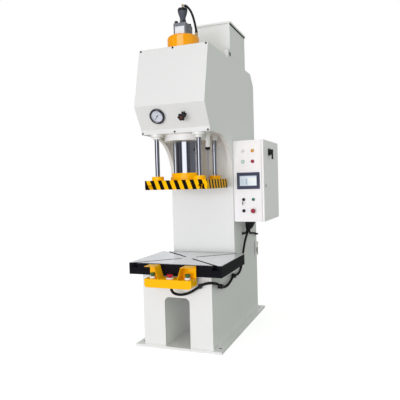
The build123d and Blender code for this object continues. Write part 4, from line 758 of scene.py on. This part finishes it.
class PRESS_OT_valve(bpy.types.Operator):
    """Makes the valve's hose and ferrules, socket screws, blank plate, bonnet rim and elbow nut"""

    bl_idname = "press.valve"
    bl_label = "Prefill valve"

    def execute(self, context):
        details = context.scene.press_details
        self.hose(details)
        self.screws(details)
        self.rim()
        return {"FINISHED"}

    def hose(self, details):
        """A smooth hose from the elbow's mouth to the cap fitting's, with a crimped sleeve on each end."""
        low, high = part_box("valve_hose")
        radius = (high.y - low.y) / 2
        y = middle("valve_hose").y
        outward = np.array([math.cos(details.hose_drop), 0.0, -math.sin(details.hose_drop)])
        start = np.array([low.x - radius * outward[2], y, high.z - radius * outward[0]])
        end = np.array([high.x - radius, y, low.z])
        shares = np.array(HOSE_SHARES)
        route = np.column_stack([
            start[0] + (end[0] - start[0]) * shares[:, 0],
            np.full(len(shares), y),
            end[2] + (start[2] - end[2]) * shares[:, 1],
        ])
        path, _ = evenly(spline_points(route), 0.003)
        hose = tube(path, radius, 28, REARWARD)
        make_piece("bent_hose", [hose], "rubber", replaces=["valve_hose"])
        outer = radius + details.ferrule_wall
        crimps, count, depth = np.linspace(0, 1, 41), 3, 0.0009
        dip = depth * (np.cos(crimps * TAU * count) > 0.2)
        profile = np.column_stack([outer - dip, crimps * details.ferrule])
        profile = np.concatenate([[(0, 0)], profile, [(0, details.ferrule)]])
        sleeve = lathe(profile, 40)
        nut = [(0, 0), (outer + 0.0022, 0), (outer + 0.0022, 0.009), (0, 0.009)]
        shells = []
        for place, away in ((start, outward), (end, UP)):
            matrix = local_frame(place, away, REARWARD)
            shells += [placed(sleeve, matrix), turned(nut, 0.0012, 6, matrix)]
        make_piece("hose_ferrules", shells, "oxide")

    def screws(self, details):
        """Socket screws at the block's corners, and a blank plate on its front."""
        low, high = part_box("valve_block")
        head = details.screw_head / 2
        socket = head * 0.5
        corners = [(0, 0.3), (socket, 0.3), (socket, 1.0), (head, 1.0), (head, 0.0), (0, 0.0)]
        profile = np.array(corners) * (1.0, details.screw_rise)
        inset = head * 1.25
        shells = []
        for x in (low.x + inset, high.x - inset):
            for y in (low.y + inset, high.y - inset):
                shells.append(placed(lathe(profile, 30), local_frame((x, y, high.z), UP)))
        make_piece("valve_screws", shells, "plastic")
        side, height = 0.12 * (high.x - low.x), high.z - low.z
        plate = rounded_box((low.x + side, low.y - 0.0012, low.z + 0.1 * height),
                            (high.x - side, low.y + 0.0008, high.z - 0.3 * height), 0.0008)
        make_piece("valve_plate", [plate], "plate")

    def rim(self):
        """A black ring round the bonnet's top with four cap screws, and a nut under the elbow."""
        centre = np.array([*middle("valve_bonnet").xy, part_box("valve_bonnet")[1].z])
        outer, circle = 0.0376, 0.025
        ring = [(0, 0.0006), (outer - 0.007, 0.0006), (outer - 0.005, 0.003), (outer, -0.001),
                (outer + 0.0024, -0.016), (outer + 0.0004, -0.021), (0, -0.021)]
        place = local_frame(centre, UP)
        shells = [turned(ring, 0.0015, 72, place)]
        screw = [(0, 0.009), (0.0055, 0.009), (0.0065, 0.007), (0.0065, 0.0), (0, 0.0)]
        for angle in np.radians([35, 125, 215, 305]):
            spot = centre + circle * np.array([math.cos(angle), math.sin(angle), 0.0])
            shells.append(turned(screw, 0.001, 20, local_frame(spot, UP)))
        make_piece("bonnet_rim", shells, "plastic")
        nut = [(0, 0), (0.0105, 0), (0.0105, 0.010), (0, 0.010)]
        make_piece("elbow_nut", [turned(nut, 0.0012, 6, place)], "brass")


class PRESS_OT_gauge(bpy.types.Operator):
    """Makes the pressure gauge's case, its dial with ticks and plain numbers, and its pointer"""

    bl_idname = "press.gauge"
    bl_label = "Pressure gauge"

    def execute(self, context):
        place = local_frame(JOINTS["gauge_needle_swing"]["pos_m"], PANEL_NORMAL)
        case = eased([
            (0.0, -0.045), (0.050, -0.045), (0.050, -0.0001), (0.060, 0.0001), (0.060, 0.020), (0.0535, 0.026),
            (0.0475, 0.0215), (0.0462, 0.0102), (0.0, 0.0100),
        ], 0.0035, 6)
        case = placed(lathe(case, 96), place)
        make_piece("gauge_housing", [case], "ring", replaces=["gauge_case"])
        disc = [(0.0, 0.0104), (0.0459, 0.0104), (0.0459, 0.0101), (0.0, 0.0101)]
        make_piece("gauge_dial", [placed(lathe(disc, 96), place)], "face")
        self.scale(place)
        self.pointer(place)
        return {"FINISHED"}

    def pointer(self, place):
        """A tapered blade with a short tail on a round hub, lying at the scale's start."""
        span = np.array([(-0.015, 0.0042), (0.0, 0.0042), (0.034, 0.0022), (0.0385, 0.0006)])
        low, high = 0.0122, 0.0136
        rim = np.concatenate([span, span[::-1] * (1, -1)])
        count = len(rim)
        points = np.concatenate([np.column_stack([rim, np.full(count, height)]) for height in (low, high)])
        faces = grid_quads(2, count) + [list(range(count))[::-1], list(range(count, 2 * count))]
        spin = np.array(Matrix.Rotation(math.radians(225), 4, "Z"))
        hub = [(0, 0.0116), (0.0070, 0.0116), (0.0070, 0.0150), (0.003, 0.0162), (0, 0.0162)]
        pin = lathe([(0, 0.0040), (0.0024, 0.0040), (0.0024, 0.0130), (0, 0.0130)], 20)
        blade = placed(placed((points, faces), spin), place)
        shells = [blade, turned(hub, 0.0008, 32, place), placed(pin, place)]
        make_piece("gauge_pointer", shells, "plastic", "gauge_needle", ["gauge_needle"])

    def scale(self, place):
        """Ticks at angles spread over 270 degrees and a number at each fifth."""
        shells = []
        for index, angle in enumerate(np.radians(np.linspace(225, -45, 41))):
            start, half = (0.0360, 0.0006) if index % 5 == 0 else (0.0388, 0.00035)
            tick = rounded_box((start, -half, 0.0103), (0.0428, half, 0.0106), 0.0001, 1)
            spin = np.array(Matrix.Rotation(angle, 4, "Z"))
            shells.append(placed(placed(tick, spin), place))
            if index % 10 == 0:
                text = bpy.data.curves.new("digits", "FONT")
                text.body = str(index)
                text.size = 0.0105
                text.align_x = text.align_y = "CENTER"
                spot = local_frame((0.0285 * math.cos(angle), 0.0285 * math.sin(angle), 0.0106), UP)
                shells.append(placed(placed(mesh_arrays(text), spot), place))
        make_piece("gauge_scale", shells, "mark")


class PRESS_OT_knob(bpy.types.Operator):
    """Makes the lobed pressure knob on its stem and the lobed lock ring behind it"""

    bl_idname = "press.knob"
    bl_label = "Pressure knob"

    def execute(self, context):
        place = local_frame(JOINTS["pressure_knob_turn"]["pos_m"], PANEL_NORMAL)
        star = eased([
            (0.0, 0.024), (0.012, 0.024), (0.0145, 0.032), (0.0285, 0.053), (0.031, 0.060), (0.0295, 0.066),
            (0.019, 0.068), (0.017, 0.0655), (0.0, 0.0655),
        ], 0.0025, 5)
        lobes = np.interp(star[:, 1], (0.03, 0.05, 0.064, 0.068), (0.02, 0.26, 0.26, 0.1))
        lobes *= star[:, 0] > 0.018
        stem = [(0.0, -0.040), (0.0100, -0.040), (0.0100, 0.0375), (0.0, 0.0375)]
        shells = [placed(lathe(star, 96, 6, lobes), place), turned(stem, 0.0008, 40, place)]
        make_piece("star_knob", shells, "plastic", "pressure_knob", ["pressure_knob"])
        cap = [(0, 0.0655), (0.0115, 0.0655), (0.0115, 0.0672), (0.009, 0.0682), (0, 0.0686)]
        make_piece("knob_insert", [turned(cap, 0.0008, 48, place)], "insert", "pressure_knob")
        ring = [(0.0101, 0.0), (0.0225, 0.0), (0.024, 0.003), (0.024, 0.011), (0.021, 0.014),
                (0.0101, 0.014), (0.0101, 0.0)]
        ring = turned(ring, 0.0012, 96, place, 6, 0.42)
        make_piece("lobed_lock_ring", [ring], "plastic", replaces=["knob_lock_ring"])
        return {"FINISHED"}


def bezel(outer, height, bore):
    """A turned ring with eased edges and a sloping inner lip."""
    corners = [
        (bore, 0.0), (outer, 0.0), (outer, height * 0.55), (outer * 0.93, height), (bore + 0.0012, height),
        (bore, height * 0.8), (bore, 0.0),
    ]
    return lathe(eased(corners, height * 0.1), 56)


def domed(radius, foot, rise, crown, stem=None):
    """A button head: straight sides, an eased rim and a crowned face, on a stem if given."""
    t = np.linspace(0, 1, 12)
    face = np.column_stack([radius * 0.9 * (1 - t), foot + rise + crown * (1 - (1 - t) ** 2)])
    side = [(radius * 0.94, foot), (radius, foot + rise * 0.12), (radius, foot + rise * 0.72)]
    base = [(0.0, foot)] if stem is None else [(0.0, stem[1]), (stem[0], stem[1]), (stem[0], foot)]
    return lathe(np.concatenate([base, eased(side + [tuple(face[0])], radius * 0.08), face[1:]]), 56)


class PRESS_OT_controls(bpy.types.Operator):
    """Makes the lamps, buttons, bezels and emergency stop on the cabinet's front side"""

    bl_idname = "press.controls"
    bl_label = "Cabinet controls"

    def execute(self, context):
        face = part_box("cabinet_box")[0].y
        columns = [middle(name).x for name in ("start_button", "stop_button")]
        rows = [middle(name).z for name in ("pilot_lamps", "start_button", "reset_button", "selector_switch")]
        places = [local_frame((x, face, z), -REARWARD) for z in rows for x in columns]
        for index, (name, finish, slot, outer) in enumerate((
            ("power_bezel", "lamp", "lamp_plastic", 0.015), ("ready_bezel", "amber", "lamp_plastic", 0.015),
            ("start_bezel", "start", "green_plastic", 0.015), ("stop_bezel", "stop", "red_plastic", 0.015),
            ("key_bezel", "plastic", "black_plastic", 0.0135),
            ("reset_bezel", "reset", "green_plastic", 0.013),
            ("selector_bezel", "plastic", "black_plastic", 0.014),
            ("stop_collar", "steel", "bright_steel", 0.015),
        )):
            ring = placed(bezel(outer, BEZEL_RISE, BEZEL_BORE), places[index])
            make_piece(name, [ring], finish, replaces=["button_bezels"])
        lamp = domed(0.0108, 0.0, 0.0125, 0.0034)
        for name, finish, place in (("power_lamp", "lamp", places[0]), ("ready_lamp", "amber", places[1])):
            make_piece(name, [placed(lamp, place)], finish, replaces=["pilot_lamps"])
        push = domed(0.0109, 0.005, 0.0058, 0.0011, (0.005, -0.024))
        for index, finish, node, slot in (
            (2, "pale", "start_button", "green_plastic"), (3, "stop", "stop_button", "red_plastic"),
            (5, "reset", "reset_button", "green_plastic"),
        ):
            cap = placed(push, places[index])
            make_piece(node.replace("button", "cap"), [cap], finish, node, [node])
        stop = mushroom_head(0.020, 0.017, 0.016, (0.011, 0.00625))
        make_piece("cabinet_stop_head", [placed(stop, places[7])], "stop",
                   "cabinet_estop", ["cabinet_estop"])
        return {"FINISHED"}


def mushroom_head(radius, foot, rise, stem):
    """A wide head with a rolled rim and a shallow dished crown on a stem."""
    corners = [
        (0.0, stem[1]), (stem[0], stem[1]), (stem[0], foot), (radius * 0.8, foot), (radius, foot + rise * 0.2),
        (radius, foot + rise * 0.55), (radius * 0.86, foot + rise * 0.9), (radius * 0.5, foot + rise),
        (0.0, foot + rise * 0.97),
    ]
    return lathe(eased(corners, radius * 0.14, 5), 64)


class PRESS_OT_station(bpy.types.Operator):
    """Makes the palm buttons, emergency stop and bezels of the two-hand station"""

    bl_idname = "press.station"
    bl_label = "Two-hand station"

    def execute(self, context):
        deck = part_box("button_bezels")[0].z
        bezels = []
        # Head radius, foot above the deck and rise; bezel radius and height; stem radius
        palm_sizes = (0.020, 0.021, 0.020, 0.022, 0.014, 0.0140)
        stop_sizes = (0.024, 0.017, 0.016, 0.028, 0.008, 0.0110)
        for node, finish, slot, sizes in (
            ("left_palm_button", "palm", "green_plastic", palm_sizes),
            ("right_palm_button", "palm", "green_plastic", palm_sizes),
            ("station_estop", "red", "red_plastic", stop_sizes),
        ):
            head, foot, rise, outer, height, stem = sizes
            centre = middle(node)
            place = local_frame((centre.x, centre.y, deck), UP)
            shell = mushroom_head(head, foot, rise, (stem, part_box(node)[0].z - deck))
            name = node.replace("button", "head").replace("estop", "stop_head")
            make_piece(name, [placed(shell, place)], finish, node, [node])
            bezels.append(placed(bezel(outer, height, stem + STEM_GAP), place))
        make_piece("station_bezels", bezels, "dial", replaces=["button_bezels"])
        return {"FINISHED"}


def rim_surface(rings, centre, back):
    """Rounded rectangles, each (half size, corner radius, rise), joined into a closed frame: a corner centre
    plus radius times (cos a, sin a)."""
    quarter = np.linspace(0, math.pi / 2, 5)
    angle = (quarter + np.arange(4)[:, None] * math.pi / 2).ravel()
    sides = np.repeat([[1, 1], [-1, 1], [-1, -1], [1, -1]], 5, axis=0)
    rows = []
    for half, radius, rise in [*rings, rings[0]]:
        flat = centre + sides * (half - radius) + radius * np.column_stack([np.cos(angle), np.sin(angle)])
        rows.append(np.column_stack([flat[:, 0], np.full(len(flat), back - rise), flat[:, 1]]))
    return np.concatenate(rows), grid_quads(len(rows), len(angle))


class PRESS_OT_cabinet(bpy.types.Operator):
    """Makes the cabinet's folded rim, its mounting strip, and the key with a spare on its ring"""

    bl_idname = "press.cabinet"
    bl_label = "Cabinet"

    def execute(self, context):
        low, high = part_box("cabinet_box")
        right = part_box("cabinet_door")[1].x - DOOR_REACH
        centre = np.array([low.x + right, low.z + high.z]) / 2
        outer = np.array([right - low.x, high.z - low.z]) / 2 - 0.001
        rise, sunk, width = 0.0022, 0.0005, 0.0145
        rings = [
            (outer, 0.003, -sunk), (outer, 0.003, rise * 0.6), (outer - 0.0012, 0.002, rise),
            (outer - 0.013, 0.002, rise), (outer - width, 0.002, rise * 0.4), (outer - width, 0.002, -sunk),
        ]
        rim = rim_surface(rings, centre, low.y)
        make_piece("cabinet_rim", [rim], "coat")
        strip = rounded_box((SIDE_FACE + GAP, low.y + 0.008, low.z + 0.012),
                            (low.x - GAP, high.y - 0.03, high.z - 0.012), 0.001)
        make_piece("mounting_strip", [strip], "coat")
        self.key()
        return {"FINISHED"}

    def key(self):
        """A barrel with a flat key in it, and a spare key that hangs from the ring on its axis."""
        x, _, z = JOINTS["key_switch_turn"]["pos_m"]
        place = local_frame((x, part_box("cabinet_box")[0].y, z), -REARWARD)
        barrel = [(0, -0.024), (0.005, -0.024), (0.005, 0.004), (0.0109, 0.004), (0.0109, 0.0095),
                  (0.0085, 0.011), (0.0, 0.0112)]
        barrel = turned(barrel, 0.0008, 48, place)
        make_piece("key_barrel", [barrel], "plastic", "key_switch", ["key_switch"])
        blade = rounded_box((-0.0012, -0.004, 0.0105), (0.0012, 0.004, 0.021), 0.0006)
        bow = rounded_box((-0.0015, -0.0085, 0.020), (0.0015, 0.0085, 0.034), 0.0012)
        make_piece("flat_key", [placed(blade, place), placed(bow, place)], "oxide", "key_switch",
                   ["key_switch"])
        ring = rounded_box((-0.0006, -0.018, 0.0342), (0.0006, 0.001, 0.0354), 0.0004)
        spare = rounded_box((-0.0040, -0.044, 0.0341), (0.0040, -0.0165, 0.0355), 0.0006)
        make_piece("spare_key", [placed(ring, place), placed(spare, place)], "plastic")


class PRESS_OT_touch_panel(bpy.types.Operator):
    """Makes the touch panel's eased frame and its screen"""

    bl_idname = "press.touch_panel"
    bl_label = "Touch panel"

    def execute(self, context):
        low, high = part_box("touch_panel")
        rise = high.y - low.y
        centre, outer = spread("touch_panel", [0, 2])
        inner = SCREEN_SIZE / 2
        rings = [
            (outer, 0.004, 0.0), (outer, 0.004, rise * 0.6), (outer - 0.003, 0.003, rise),
            (inner + 0.003, 0.002, rise), (inner, 0.001, rise - 0.0016), (inner, 0.001, 0.0),
        ]
        shell = rim_surface(rings, centre, high.y)
        make_piece("panel_frame", [shell], "slate", replaces=["touch_panel"])
        left, foot = centre - inner - 0.001
        right, top = centre + inner + 0.001
        screen = rounded_box((left, low.y + 0.0016, foot), (right, high.y - 0.0005, top), 0.0004, 1)
        make_piece("panel_screen", [screen], "screen")
        return {"FINISHED"}


class PRESS_OT_level_gauge(bpy.types.Operator):
    """Makes the oil level gauge: end blocks, black strips that paint shade along its edges, a clear tube with oil
    in it and two bolts
    """

    bl_idname = "press.level_gauge"
    bl_label = "Level gauge"

    def execute(self, context):
        low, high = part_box("level_gauge")
        y = middle("level_gauge").y
        end, lip = 0.024, 0.0015
        shells = [
            rounded_box(low, (high.x, high.y, low.z + end), 0.004),
            rounded_box((low.x, low.y, high.z - end), high, 0.004),
            rounded_box((low.x, low.y + 0.002, low.z + 0.01),
                        (low.x + 0.012, high.y - 0.002, high.z - 0.01), 0.002),
        ]
        make_piece("level_body", shells, "coat", replaces=["level_gauge"])
        # Black strips at the back edge and the outer edge: painted shade lines
        edges = [
            rounded_box((low.x + GAP, low.y - lip, low.z - lip),
                        (low.x + 0.003, high.y + lip, high.z + lip), 0.001),
            rounded_box((high.x - 0.003, y - 0.004, low.z + 0.008),
                        (high.x + 0.0006, y + 0.004, high.z - 0.008), 0.001),
        ]
        make_piece("level_edges", edges, "oxide")
        heights = (low.z + end - 0.002, high.z - end + 0.002)
        x = low.x + 0.0195
        glass = tube([(x, y, z) for z in np.linspace(*heights, 9)], 0.0068, 32, REARWARD)
        make_piece("level_tube", [glass], "glass", replaces=["level_gauge"])
        levels = np.linspace(heights[0] + 0.001, heights[0] + 0.052, 9)
        oil = tube([(x, y, z) for z in levels], 0.0048, 24, REARWARD)
        make_piece("level_oil", [oil], "brass")
        bolt = [(0, 0.0), (0.0085, 0.0), (0.0085, 0.004), (0.006, 0.0055), (0.0, 0.0055)]
        bolts = [turned(bolt, 0.0008, 6, local_frame((high.x - 0.0005, y, z), RIGHT, REARWARD))
                 for z in (low.z + end / 2, high.z - end / 2)]
        make_piece("level_bolts", bolts, "steel")
        return {"FINISHED"}


class PRESS_OT_fixings(bpy.types.Operator):
    """Makes the lug sleeves and anchor bolts that darken their holes as painted shade, the conduit saddles, and a
    dark band under the hood's lid as its painted shadow
    """

    bl_idname = "press.fixings"
    bl_label = "Fixings"

    def execute(self, context):
        details = context.scene.press_details
        self.lug_sleeves()
        self.anchors()
        self.saddles(details)
        self.lid_seal()
        return {"FINISHED"}

    def lug_sleeves(self):
        """A thin black lining in each lifting hole, closed in the middle by a rubber membrane, as painted shade
        inside the hole.
        """
        shells = []
        for mount in frame["record"]["mounts"]:
            if not mount["name"].endswith("_lug"):
                continue
            hole, half = mount["dims"]["r_mm"] / 1000 - GAP, mount["dims"]["length_mm"] / 2000
            bore, web = hole - 0.0025, half * 0.2
            sleeve = [(0.0, -web), (bore, -web), (bore, -half), (hole, -half),
                      (hole, half), (bore, half), (bore, web), (0.0, web)]
            _, y, z = mount["pos_m"]
            plate = mount["name"].split("_")[0] + "_side_plate"
            shells.append(placed(lathe(sleeve, 48), local_frame((middle(plate).x, y, z), RIGHT, REARWARD)))
        make_piece("lug_sleeves", shells, "rubber")

    def anchors(self):
        """A dark bolt head sunk in each anchor hole of the base plate, its black standing in as painted shade in
        the hole.
        """
        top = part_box("base_plate")[1].z
        bolt = [(0, -0.012), (0.0118, -0.012), (0.0118, 0.0), (0.0105, 0.0015), (0.0, 0.0015)]
        pattern = next(m for m in frame["record"]["mounts"] if "spacing_x_mm" in m["dims"])["dims"]
        across, along = pattern["spacing_x_mm"] / 2000, pattern["spacing_y_mm"] / 2000
        shells = [turned(bolt, 0.0008, 32, local_frame((x, y, top - 0.002), UP))
                  for x in (-across, across) for y in (-along, along)]
        make_piece("anchor_bolts", shells, "oxide")

    def saddles(self, details):
        """A black block round the station's conduit at the middle of three runs, against the plate."""
        points = np.array(STATION_ROUTE) + (SIDE_FACE, FRONT_FACE, 0.0)
        half, tall, reach = 0.011, 0.017, details.station_conduit + 0.0045
        shells = []
        for run in (6, 11, 16):
            x, y, z = (points[run] + points[run + 1]) / 2
            if y < FRONT_FACE:
                low, high = (x - half, y - reach, z - tall), (x + half, FRONT_FACE - GAP, z + tall)
            else:
                low, high = (SIDE_FACE + GAP, y - half, z - tall), (x + reach, y + half, z + tall)
            shells.append(rounded_box(low, high, 0.004))
        make_piece("conduit_saddles", shells, "plastic")

    def lid_seal(self):
        """A dark band along the hood's two sides just below the lid's skirt: the painted shadow under the lid's
        overhang.
        """
        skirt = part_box("hood_lid")[1].z - 0.016
        centre, half = spread("hood_shell", [0, 1])
        wide = half + np.array([0.0035, -0.002])
        rings = [(half - 0.003, 0.003, skirt - 0.012), (wide, 0.004, skirt - 0.010),
                 (wide, 0.004, skirt + 0.006), (half - 0.003, 0.003, skirt + 0.006)]
        points, faces = rim_surface(rings, centre, 0.0)
        points = points[:, [0, 2, 1]] * (1, 1, -1)
        make_piece("lid_seal", [(points, faces)], "rubber")


class PRESS_OT_welds(bpy.types.Operator):
    """Lays rippled weld beads where the side plates and the front plate stand on the base plate"""

    bl_idname = "press.welds"
    bl_label = "Weld beads"

    def execute(self, context):
        details = context.scene.press_details
        left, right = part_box("left_side_plate")[0].x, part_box("right_side_plate")[1].x
        front, rear = FRONT_FACE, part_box("rear_plate")[1].y
        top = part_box("base_plate")[1].z
        short, knee = details.weld_end, details.weld_knee
        runs = [
            ((left, front + short, top), (left, rear - short, top), -RIGHT),
            ((right, front + short, top), (right, rear - short, top), RIGHT),
            ((left + short, front, top), (-knee, front, top), -REARWARD),
            ((knee, front, top), (right - short, front, top), -REARWARD),
        ]
        shells = [self.bead(*(np.array(part, float) for part in run), details) for run in runs]
        make_piece("weld_beads", shells, "enamel", sharp=180.0)
        return {"FINISHED"}

    def bead(self, start, end, away, details):
        """A quarter round of leg r(s) cos a out from the plate and r(s) sin a up it, where r swells by a tenth
        with each ripple."""
        reach = np.linalg.norm(end - start)
        s = np.linspace(0, reach, int(reach / details.weld_ripple * 5))
        taper = np.clip(np.minimum(s, reach - s) / details.weld, 0.02, 1) ** 0.5
        leg = details.weld * taper * (1 + 0.1 * np.abs(np.sin(s * math.pi / details.weld_ripple)))
        angle = np.linspace(0, math.pi / 2, 6)
        sunk = 0.0005
        out = np.outer(leg, np.cos(angle)) - sunk
        up = np.outer(leg, np.sin(angle)) - sunk
        line = start + np.outer(s / reach, end - start)
        points = line[:, None] + out[..., None] * away + up[..., None] * UP
        root = line[:, None] - sunk * (away + UP)
        points = np.concatenate([points, root], axis=1)
        columns = points.shape[1]
        faces = grid_quads(len(s), columns)
        ends = [list(range(columns)), [(len(s) - 1) * columns + index for index in range(columns)][::-1]]
        return points.reshape(-1, 3), faces + ends


# What polished surfaces mirror: (degrees to the right of the camera, level)
REFLECTION_BANDS = (
    (-180, 0.9), (-150, 0.6), (-125, 0.14), (-114, 0.1), (-88, 0.08), (-76, 0.2), (-66, 0.1), (-50, 0.1),
    (-46, 0.8), (-43, 2.4), (-4, 2.4), (2, 0.2), (9, 0.1), (30, 0.12), (38, 0.26), (82, 0.28), (98, 0.4),
    (150, 0.6), (179, 0.9),
)
BAND_BLUE = 0.012
SKY_TINT = (0.94, 1.0, 0.93)
BOX_TINT = (0.98, 0.935, 1.0)
BOX_MIDDLE = (0.0, -0.4, 1.2)
FLOOR_TINT = (0.62, 0.62, 0.62)
FLOOR_RINGS = (0.0, 1.0, 3.0, 14.0)
FLOOR_DROP = 0.0005
SENSOR_WIDTH = 36.0


class PRESS_OT_stage(bpy.types.Operator):
    """Sets up the floor, the even white surround, the soft box and the camera"""

    bl_idname = "press.stage"
    bl_label = "Stage"

    def execute(self, context):
        stage = context.scene.press_stage
        context.scene.view_settings.view_transform = "Standard"
        self.floor(stage)
        self.surround(context.scene, stage)
        self.soft_box(context.scene, stage)
        self.camera(context.scene, stage)
        return {"FINISHED"}

    def floor(self, stage):
        """A wide disc that keeps the press's shadow and shows white in the picture."""
        mesh = bpy.data.meshes.new("floor")
        points, faces = lathe([(radius, -FLOOR_DROP) for radius in FLOOR_RINGS], 96)
        mesh.from_pydata(points.tolist(), [], faces)
        finish = Finish("floor_white", FLOOR_TINT, 0.9, specular_ior_level=0.0)
        finish.set("Base Color", finish.clouded(0.4, 0.01))
        seen = finish.add("LightPath", {}, "Is Camera Ray")
        finish.set("Emission Color", (1.0, 1.0, 1.0, 1.0))
        finish.set("Emission Strength", finish.math("MULTIPLY", seen, stage.glow))
        mesh.materials.append(finish.material)
        floor = bpy.data.objects.new("floor", mesh)
        bpy.context.scene.collection.objects.link(floor)

    def surround(self, scene, stage):
        """White to the camera, even light on the press, and light and dark bands in polished metal."""
        world = bpy.data.worlds.new("surround")
        scene.world = world
        world.use_nodes = True
        tree = world.node_tree
        tree.nodes.clear()
        add = partial(add_node, tree)
        looked = add("TexCoord", {}, "Generated")
        turned = add("VectorRotate", {"Vector": looked, "Angle": -stage.azimuth}, rotation_type="Z_AXIS")
        across, along = (add("SeparateXYZ", {0: turned}, axis) for axis in "XY")
        forward = add("Math", {0: along, 1: -1.0}, operation="MULTIPLY")
        bearing = add("Math", {0: across, 1: forward}, operation="ARCTAN2")
        share = add("MapRange", {0: bearing, 1: -math.pi, 2: math.pi})
        bands = add("ValToRGB", {0: share})
        elements = bands.node.color_ramp.elements
        while len(elements) < len(REFLECTION_BANDS):
            elements.new(0.5)
        for element, (degrees, level) in zip(elements, REFLECTION_BANDS):
            element.position = degrees / 360 + 0.5
            element.color = (level, level, level + BAND_BLUE, 1.0)
        light = add("Background", {"Color": (*SKY_TINT, 1.0), "Strength": stage.sky})
        polished = add("Background", {"Color": bands})
        white = add("Background", {"Color": (1.0, 1.0, 1.0, 1.0)})
        for ray, seen in (("Glossy", polished), ("Transmission", white), ("Camera", white)):
            light = add("MixShader", {0: add("LightPath", {}, f"Is {ray} Ray"), 1: light, 2: seen})
        tree.links.new(light, tree.nodes.new("ShaderNodeOutputWorld").inputs["Surface"])

    def soft_box(self, scene, stage):
        """A wide soft box behind the camera and to its left, from the floor up."""
        bearing = stage.azimuth + stage.key_turn
        away = Vector((math.sin(bearing), -math.cos(bearing), 0.0))
        lamp = bpy.data.lights.new("soft_box", "AREA")
        lamp.shape = "RECTANGLE"
        lamp.size = stage.box_width
        lamp.size_y = stage.box_height
        lamp.energy = stage.key
        lamp.color = BOX_TINT
        box = bpy.data.objects.new("soft_box", lamp)
        box.location = Vector(BOX_MIDDLE) + away * stage.box_distance
        box.rotation_euler = away.to_track_quat("Z", "Y").to_euler()
        box.visible_camera = False
        box.visible_glossy = False
        scene.collection.objects.link(box)

    def camera(self, scene, stage):
        """The camera's axes from azimuth a, elevation e and roll: back = (sin a cos e, -cos a cos e, sin e)."""
        a, e, r = stage.azimuth, stage.elevation, stage.roll
        back = Vector((math.sin(a) * math.cos(e), -math.cos(a) * math.cos(e), math.sin(e)))
        level = Vector((math.cos(a), math.sin(a), 0.0))
        upright = back.cross(level)
        right = level * math.cos(r) + upright * math.sin(r)
        up = upright * math.cos(r) - level * math.sin(r)
        lens_data = bpy.data.cameras.new("camera")
        lens_data.lens = stage.lens
        lens_data.sensor_width = SENSOR_WIDTH
        camera = bpy.data.objects.new("camera", lens_data)
        axes = Matrix((right, up, back)).transposed().to_4x4()
        camera.matrix_world = Matrix.Translation(stage.eye) @ axes
        scene.collection.objects.link(camera)
        scene.camera = camera


OPERATORS = (
    PRESS_OT_finishes, PRESS_OT_conduits, PRESS_OT_valve, PRESS_OT_gauge, PRESS_OT_knob, PRESS_OT_controls,
    PRESS_OT_station, PRESS_OT_cabinet, PRESS_OT_touch_panel, PRESS_OT_level_gauge, PRESS_OT_fixings,
    PRESS_OT_welds, PRESS_OT_stage,
)


class PRESS_PT_looks(bpy.types.Panel):
    """Lists the press's settings and the operators that make its pieces"""

    bl_idname = "PRESS_PT_looks"
    bl_label = "Single column press"
    bl_space_type = "VIEW_3D"
    bl_region_type = "UI"
    bl_category = "Press"

    def draw(self, context):
        for group in (context.scene.press_colours, context.scene.press_stage, context.scene.press_details):
            box = self.layout.box()
            for setting in group.bl_rna.properties.keys():
                if setting not in ("rna_type", "name"):
                    box.prop(group, setting)
        for operator in OPERATORS:
            self.layout.operator(operator.bl_idname)


GROUPS = {"press_colours": PressColours, "press_stage": PressStage, "press_details": PressDetails}


def register():
    for group in GROUPS.values():
        bpy.utils.register_class(group)
    for name, group in GROUPS.items():
        setattr(bpy.types.Scene, name, bpy.props.PointerProperty(type=group))
    for entry in (*OPERATORS, PRESS_PT_looks):
        bpy.utils.register_class(entry)


def unregister():
    for entry in (PRESS_PT_looks, *reversed(OPERATORS)):
        bpy.utils.unregister_class(entry)
    for name in GROUPS:
        delattr(bpy.types.Scene, name)
    for group in GROUPS.values():
        bpy.utils.unregister_class(group)


def main():
    """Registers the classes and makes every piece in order."""
    register()
    for operator in OPERATORS:
        group, name = operator.bl_idname.split(".")
        getattr(getattr(bpy.ops, group), name)()


if __name__ == "__main__":
    main()
